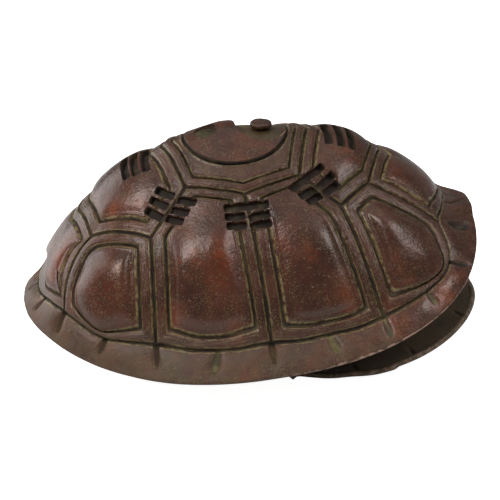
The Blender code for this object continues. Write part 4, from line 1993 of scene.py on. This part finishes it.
@dataclass(frozen=True)
class SeamLines:
    """Painted groove shade over dark patina, pale edges and drawn-out streaks beside a seam, by the distance
    from it.

    Crevice shades and lines are given by their distance and half width; a line also by its strength.
    """

    outputs: tuple[str, ...] = ("CreviceShade", "Line", "Streak")
    sway: Noise = Noise(2.6, 2.0, 3.0)
    sway_amount: float = 0.5
    breaks: Noise = Noise(1.5, 3.0, 43.0, fade=(0.34, 0.58))
    streak_length: float = 4.5
    streak_width: float = 0.38
    # grooves darkened with painted shade over their dark patina: distance from the seam and half width
    crevice_shades: tuple[Pair, ...] = ((0.0, 0.58), (3.80, 0.46))
    lines: tuple[Place, ...] = ((0.70, 0.26, 0.75), (3.16, 0.20, 0.6), (4.48, 0.38, 1.0))
    core: float = 0.35

    def _line(self, wires: Wiring, across: object, centre: float, half_width: float) -> bpy.types.NodeSocket:
        """Adds a soft line at a distance from the seam and gives its mask."""
        away = wires.math("ABSOLUTE", wires.math("SUBTRACT", across, centre))
        return wires.band(away, (half_width, half_width * self.core))

    def _streaks(self, wires: Wiring, place: object, across: object) -> bpy.types.NodeSocket:
        """Adds noise drawn out along the seam: slow over the surface, fast across the seam.

        Args:
            wires: the tree's wiring.
            place: millimetre coordinates.
            across: distance from the seam.

        Returns:
            Its value's socket.
        """
        slow = wires.node("ShaderNodeVectorMath", {0: place, "Scale": 1 / self.streak_length},
                          operation="SCALE").outputs[0]
        inputs = {"Vector": slow, "W": wires.math("DIVIDE", across, self.streak_width), "Scale": 1.0,
                  "Detail": 2.0}
        return wires.node("ShaderNodeTexNoise", inputs, noise_dimensions="4D").outputs["Fac"]

    def group(self) -> bpy.types.NodeTree:
        """Makes its node group, over millimetre coordinates.

        Returns:
            The group's tree.
        """
        wires, given, result = new_group("seam_lines", {"Place": "Vector", "Seam": "Float", "ShadeAndLines": "Float"},
                                         dict.fromkeys(self.outputs, "Float"))
        place = given["Place"]
        sway = wires.times(wires.math("SUBTRACT", wires.noise(place, self.sway), 0.5), self.sway_amount)
        across = wires.math("ADD", wires.math("SUBTRACT", SEAM_REACH, given["Seam"]), sway)
        crevice_shade = wires.math("MAXIMUM", *(self._line(wires, across, *crevice_shade) for crevice_shade in self.crevice_shades))
        edges = [wires.times(self._line(wires, across, centre, width), share)
                 for centre, width, share in self.lines]
        strongest = wires.math("MAXIMUM", wires.math("MAXIMUM", edges[0], edges[1]), edges[2])
        line = wires.times(strongest, wires.patches(place, self.breaks))
        streak = self._streaks(wires, place, across)
        wires.feed(result, {label: wires.times(socket, given["ShadeAndLines"])
                            for label, socket in (("CreviceShade", crevice_shade), ("Line", line), ("Streak", streak))})
        return wires.tree


@dataclass(frozen=True)
class Patina:
    """How the colours of patinated bronze lie over each other, and what dulls it."""

    colours: tuple[str, ...] = ("Brown", "Shade", "Red", "Dust", "Deep", "Olive", "Pale", "Bare_and_glint")
    masks: tuple[str, ...] = (
        "Cloud", "Patch", "Grain", "Specks", "Dusty", "Verdigris", "WearAndGlint", "CreviceShade", "Line", "Streak")
    grain_share: float = 0.32
    groove_streaks: Pair = (0.42, 0.62)
    dusty_streaks: Pair = (0.50, 0.72)
    dusty_share: float = 0.55
    crevice_shade_share: float = 0.9
    pale_clouds: Pair = (0.45, 1.0)
    pale_share: float = 0.5
    verdigris_fade: Pair = (0.25, 0.85)
    line_share: float = 0.8
    wear_and_glint_fade: Pair = (0.20, 0.75)
    speck_share: float = 0.25
    dulling: tuple[tuple[str, float], ...] = (
        ("Verdigris", 0.25), ("Cloud", 0.08), ("Dusty", 0.3), ("CreviceShade", 0.5), ("Grain", 0.12))

    def group(self) -> bpy.types.NodeTree:
        """Makes the node group that turns colours and masks into a colour and a roughness.

        Returns:
            The group's tree.
        """
        wires, given, result = new_group(
            "patina", {**dict.fromkeys(self.colours, "Color"), **dict.fromkeys(self.masks, "Float")},
            {"Color": "Color", "Roughness": "Float"})
        pale = wires.times(wires.band(given["Cloud"], self.pale_clouds), self.pale_share)
        green = wires.mix(pale, given["Olive"], given["Pale"])
        groove = wires.mix(wires.band(given["Streak"], self.groove_streaks), given["Deep"], given["Olive"])
        streaked = wires.times(wires.band(given["Streak"], self.dusty_streaks), self.dusty_share)
        colour = wires.mix(given["Cloud"], given["Shade"], given["Brown"])
        for share, layer in ((given["Patch"], given["Red"]), (given["Dusty"], given["Dust"]),
                             (wires.times(given["Grain"], self.grain_share), given["Pale"]),
                             (streaked, given["Dust"]),
                             # the grooves' near-black is painted shade, over their olive patina
                             (wires.times(given["CreviceShade"], self.crevice_shade_share), groove),
                             (wires.band(given["Verdigris"], self.verdigris_fade), green),
                             (wires.times(given["Line"], self.line_share), given["Pale"]),
                             # bare bronze where worn, and painted highlights along the disc's step and the
                             # rim's edge
                             (wires.band(given["WearAndGlint"], self.wear_and_glint_fade), given["Bare_and_glint"]),
                             (wires.times(given["Specks"], self.speck_share), given["Pale"])):
            colour = wires.mix(share, colour, layer)
        rough = wires.total(*((given[label], amount) for label, amount in self.dulling))
        wires.feed(result, {"Color": colour, "Roughness": rough})
        return wires.tree


@dataclass(frozen=True)
class BronzeFinish:
    """Patinated bronze: its colours, and how it takes light."""

    name: str
    brown: Colour = (0.064, 0.020, 0.011, 1.0)
    shade: Colour = (0.034, 0.013, 0.008, 1.0)
    red: Colour = (0.155, 0.033, 0.009, 1.0)
    dust: Colour = (0.080, 0.058, 0.028, 1.0)
    # near-black for the grooves and cuts: painted shade
    deep: Colour = (0.008, 0.006, 0.004, 1.0)
    olive: Colour = (0.046, 0.038, 0.014, 1.0)
    pale: Colour = (0.205, 0.160, 0.066, 1.0)
    # bare bronze where worn, also the colour of the painted highlights
    bare_and_glint: Colour = (0.300, 0.180, 0.130, 1.0)
    low_band: Pair = (26.0, 10.0)
    red_amount: float = 0.4
    dust_amount: float = 0.55
    roughness: float = 0.22
    low_dullness: float = 0.25
    specular: float = 0.40
    metallic: float = 0.15
    relief: float = 0.12
    streak_relief: float = 2.2
    breaks: Noise = Noise(3.0, 4.0, 71.0, 0.65)
    dust_fade: Pair = (0.30, 0.62)
    verdigris_fade: Pair = (0.18, 0.52)
    wear_and_glint_breaks: Noise = Noise(1.7, 3.0, 5.0, fade=(0.30, 0.62))
    warm_breaks: Noise = Noise(4.5, 6.0, 91.0, 0.7, (0.30, 0.62))

    def material(self, surface: bpy.types.NodeTree, seams: bpy.types.NodeTree,
                 patina: bpy.types.NodeTree) -> bpy.types.Material:
        """Builds the material.

        Args:
            surface: the group of clouds, patches, specks and pits.
            seams: the group of grooves and lines beside a seam.
            patina: the group that mixes the colours.

        Returns:
            The material.
        """
        paint = bpy.data.materials.new(self.name)
        paint.use_nodes = True
        wires = Wiring(paint.node_tree)
        object_place = wires.node("ShaderNodeTexCoord", {}).outputs["Object"]
        place = wires.node("ShaderNodeVectorMath", {0: object_place, "Scale": 1 / MM},
                           operation="SCALE").outputs[0]
        marks = {mark: wires.node("ShaderNodeAttribute", {}, attribute_name=mark.value).outputs["Fac"]
                 for mark in Mark}
        cast = wires.group(surface, {"Place": place}).outputs
        near_seam = {"Place": place, "Seam": marks[Mark.SEAM], "ShadeAndLines": marks[Mark.CUT]}
        beside = wires.group(seams, near_seam).outputs
        low_down = wires.band(wires.node("ShaderNodeSeparateXYZ", {0: place}).outputs["Z"], self.low_band)
        broken = wires.noise(place, self.breaks)
        red = wires.times(wires.times(cast["Patch"], self.red_amount), marks[Mark.PLATE])
        warm = wires.times(marks[Mark.WARM], wires.patches(place, self.warm_breaks))
        mixed = wires.group(patina, {
            **{label: getattr(self, label.lower()) for label in Patina.colours},
            **{label: cast[label] for label in ("Cloud", "Grain", "Specks")},
            **{label: beside[label] for label in SeamLines.outputs},
            "Patch": wires.math("MAXIMUM", red, warm),
            "Dusty": wires.times(wires.times(low_down, self.dust_amount), wires.band(broken, self.dust_fade)),
            "Verdigris": wires.times(marks[Mark.VERDIGRIS], wires.band(broken, self.verdigris_fade)),
            "WearAndGlint": wires.times(marks[Mark.WEAR_AND_GLINT], wires.patches(place, self.wear_and_glint_breaks))}).outputs
        carved = wires.total((cast["Height"], 1.0), (beside["Streak"], self.streak_relief))
        bump = wires.node("ShaderNodeBump", {"Height": carved, "Distance": self.relief * MM, "Strength": 1.0})
        dull = wires.math("MULTIPLY_ADD", low_down, self.low_dullness, self.roughness)
        wires.feed(paint.node_tree.nodes["Principled BSDF"], {
            "Base Color": mixed["Color"], "Normal": bump.outputs["Normal"],
            "Roughness": wires.math("ADD", mixed["Roughness"], dull, clamp=True),
            "Metallic": self.metallic, "Specular IOR Level": self.specular})
        return paint


# --- studio


@dataclass(frozen=True)
class Lamp:
    """One square soft light: where it hangs, what it faces, its size and its power."""

    name: str
    place: Place
    aim: Place
    size: float
    power: float


@dataclass
class Studio:
    """Floor, lights and camera, at the photograph's viewing angle."""

    camera_at: Place = (-37.6, -346.9, 195.3)
    camera_aim: Place = (0.94, 0.0, 25.1)
    focal_length: float = 95.6
    sensor_width: float = 36.0
    nearest: float = 0.01
    floor_size: float = 4.0
    floor_height: float = -0.0002
    floor_colour: Colour = (0.86, 0.86, 0.86, 1.0)
    floor_roughness: float = 0.9
    floor_glow: float = 0.95
    air_glow: float = 0.22
    lamps: tuple[Lamp, ...] = (
        Lamp("top_light", (0, 60, 640), (0, 0, 20), 700, 1.1),
        Lamp("key_light", (-330, -230, 495), (0, 0, 20), 260, 2.4),
        Lamp("right_light", (380, -200, 475), (20, -10, 30), 240, 1.3),
        Lamp("left_light", (-470, 260, 200), (-20, 0, 30), 440, 1.8))

    def build(self) -> None:
        """Sets up everything that isn't part of the object."""
        self._floor()
        self._camera()
        for lamp in self.lamps:
            light = bpy.data.lights.new(lamp.name, "AREA")
            light.size = lamp.size * MM
            light.energy = lamp.power
            self._hang(lamp.name, light, Vector(lamp.place), Vector(lamp.aim))
        world = bpy.data.worlds.new("studio_air")
        bpy.context.scene.world = world
        world.use_nodes = True
        wires = Wiring(world.node_tree)
        seen = wires.node("ShaderNodeLightPath", {}).outputs["Is Camera Ray"]
        wires.feed(world.node_tree.nodes["Background"],
                   {"Color": WHITE, "Strength": wires.math("MAXIMUM", seen, self.air_glow)})
        bpy.context.scene.view_settings.view_transform = "Standard"

    def _floor(self) -> None:
        """A plain pale floor."""
        deselect_all()
        bpy.ops.mesh.primitive_plane_add(size=self.floor_size, location=(0, 0, self.floor_height))
        floor = bpy.context.active_object
        floor.name = "floor"
        paint = bpy.data.materials.new("floor_paper")
        paint.use_nodes = True
        wires = Wiring(paint.node_tree)
        seen = wires.node("ShaderNodeLightPath", {}).outputs["Is Camera Ray"]
        wires.feed(paint.node_tree.nodes["Principled BSDF"], {
            "Base Color": self.floor_colour, "Roughness": self.floor_roughness, "Emission Color": WHITE,
            "Emission Strength": wires.times(seen, self.floor_glow)})
        floor.data.materials.append(paint)

    def _camera(self) -> None:
        """The camera, where the photograph was taken from."""
        lens = bpy.data.cameras.new("camera")
        lens.lens = self.focal_length
        lens.sensor_width = self.sensor_width
        lens.clip_start = self.nearest
        shift = Vector((DOME_AHEAD, 0, 0))
        bpy.context.scene.camera = self._hang("camera", lens, Vector(self.camera_at) - shift,
                                              Vector(self.camera_aim) - shift)

    @staticmethod
    def _hang(name: str, data: bpy.types.ID, place: Vector, aim: Vector) -> bpy.types.Object:
        """Adds a light or a camera.

        Args:
            name: its name.
            data: its light or camera data.
            place: where it is.
            aim: what it faces.

        Returns:
            The object.
        """
        item = bpy.data.objects.new(name, data)
        bpy.context.scene.collection.objects.link(item)
        item.location = place * MM
        item.rotation_euler = (aim - place).to_track_quat("-Z", "Y").to_euler()
        return item


def main() -> None:
    """Builds the shell piece by piece and reports each."""
    logging.basicConfig(level=logging.INFO, format="%(message)s")
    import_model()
    groups = CastSurface().group(), SeamLines().group(), Patina().group()
    shell_bronze = BronzeFinish("patinated_bronze").material(*groups)
    # The belly's bronze is lighter and more olive than the shell's: olive patina, lifted with painted light
    # against the shade under the dome.
    belly_bronze_lifted = BronzeFinish(
        "dark_bronze", brown=(0.085, 0.055, 0.030, 1.0), shade=(0.046, 0.034, 0.019, 1.0),
        red=(0.090, 0.040, 0.022, 1.0), dust_amount=0.1, roughness=0.45, low_dullness=0.0).material(*groups)
    dome = Dome()
    carapace = Carapace(dome, SeamPlan(dome), Disc(dome), BarTool(dome)).build()
    knob, plastron = Knob(dome).build(), Plastron(dome).build()
    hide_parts("carapace")
    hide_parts("plastron")
    for piece, paint, slot in ((carapace, shell_bronze, "patinated_bronze"),
                               (knob, shell_bronze, "patinated_bronze"),
                               (plastron, belly_bronze_lifted, "dark_bronze")):
        piece.data.materials.clear()
        piece.data.materials.append(paint)
        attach(piece, "root")
        LOG.info("%s: %d faces", piece.name, len(piece.data.polygons))
    Studio().build()


if __name__ == "__main__":
    main()
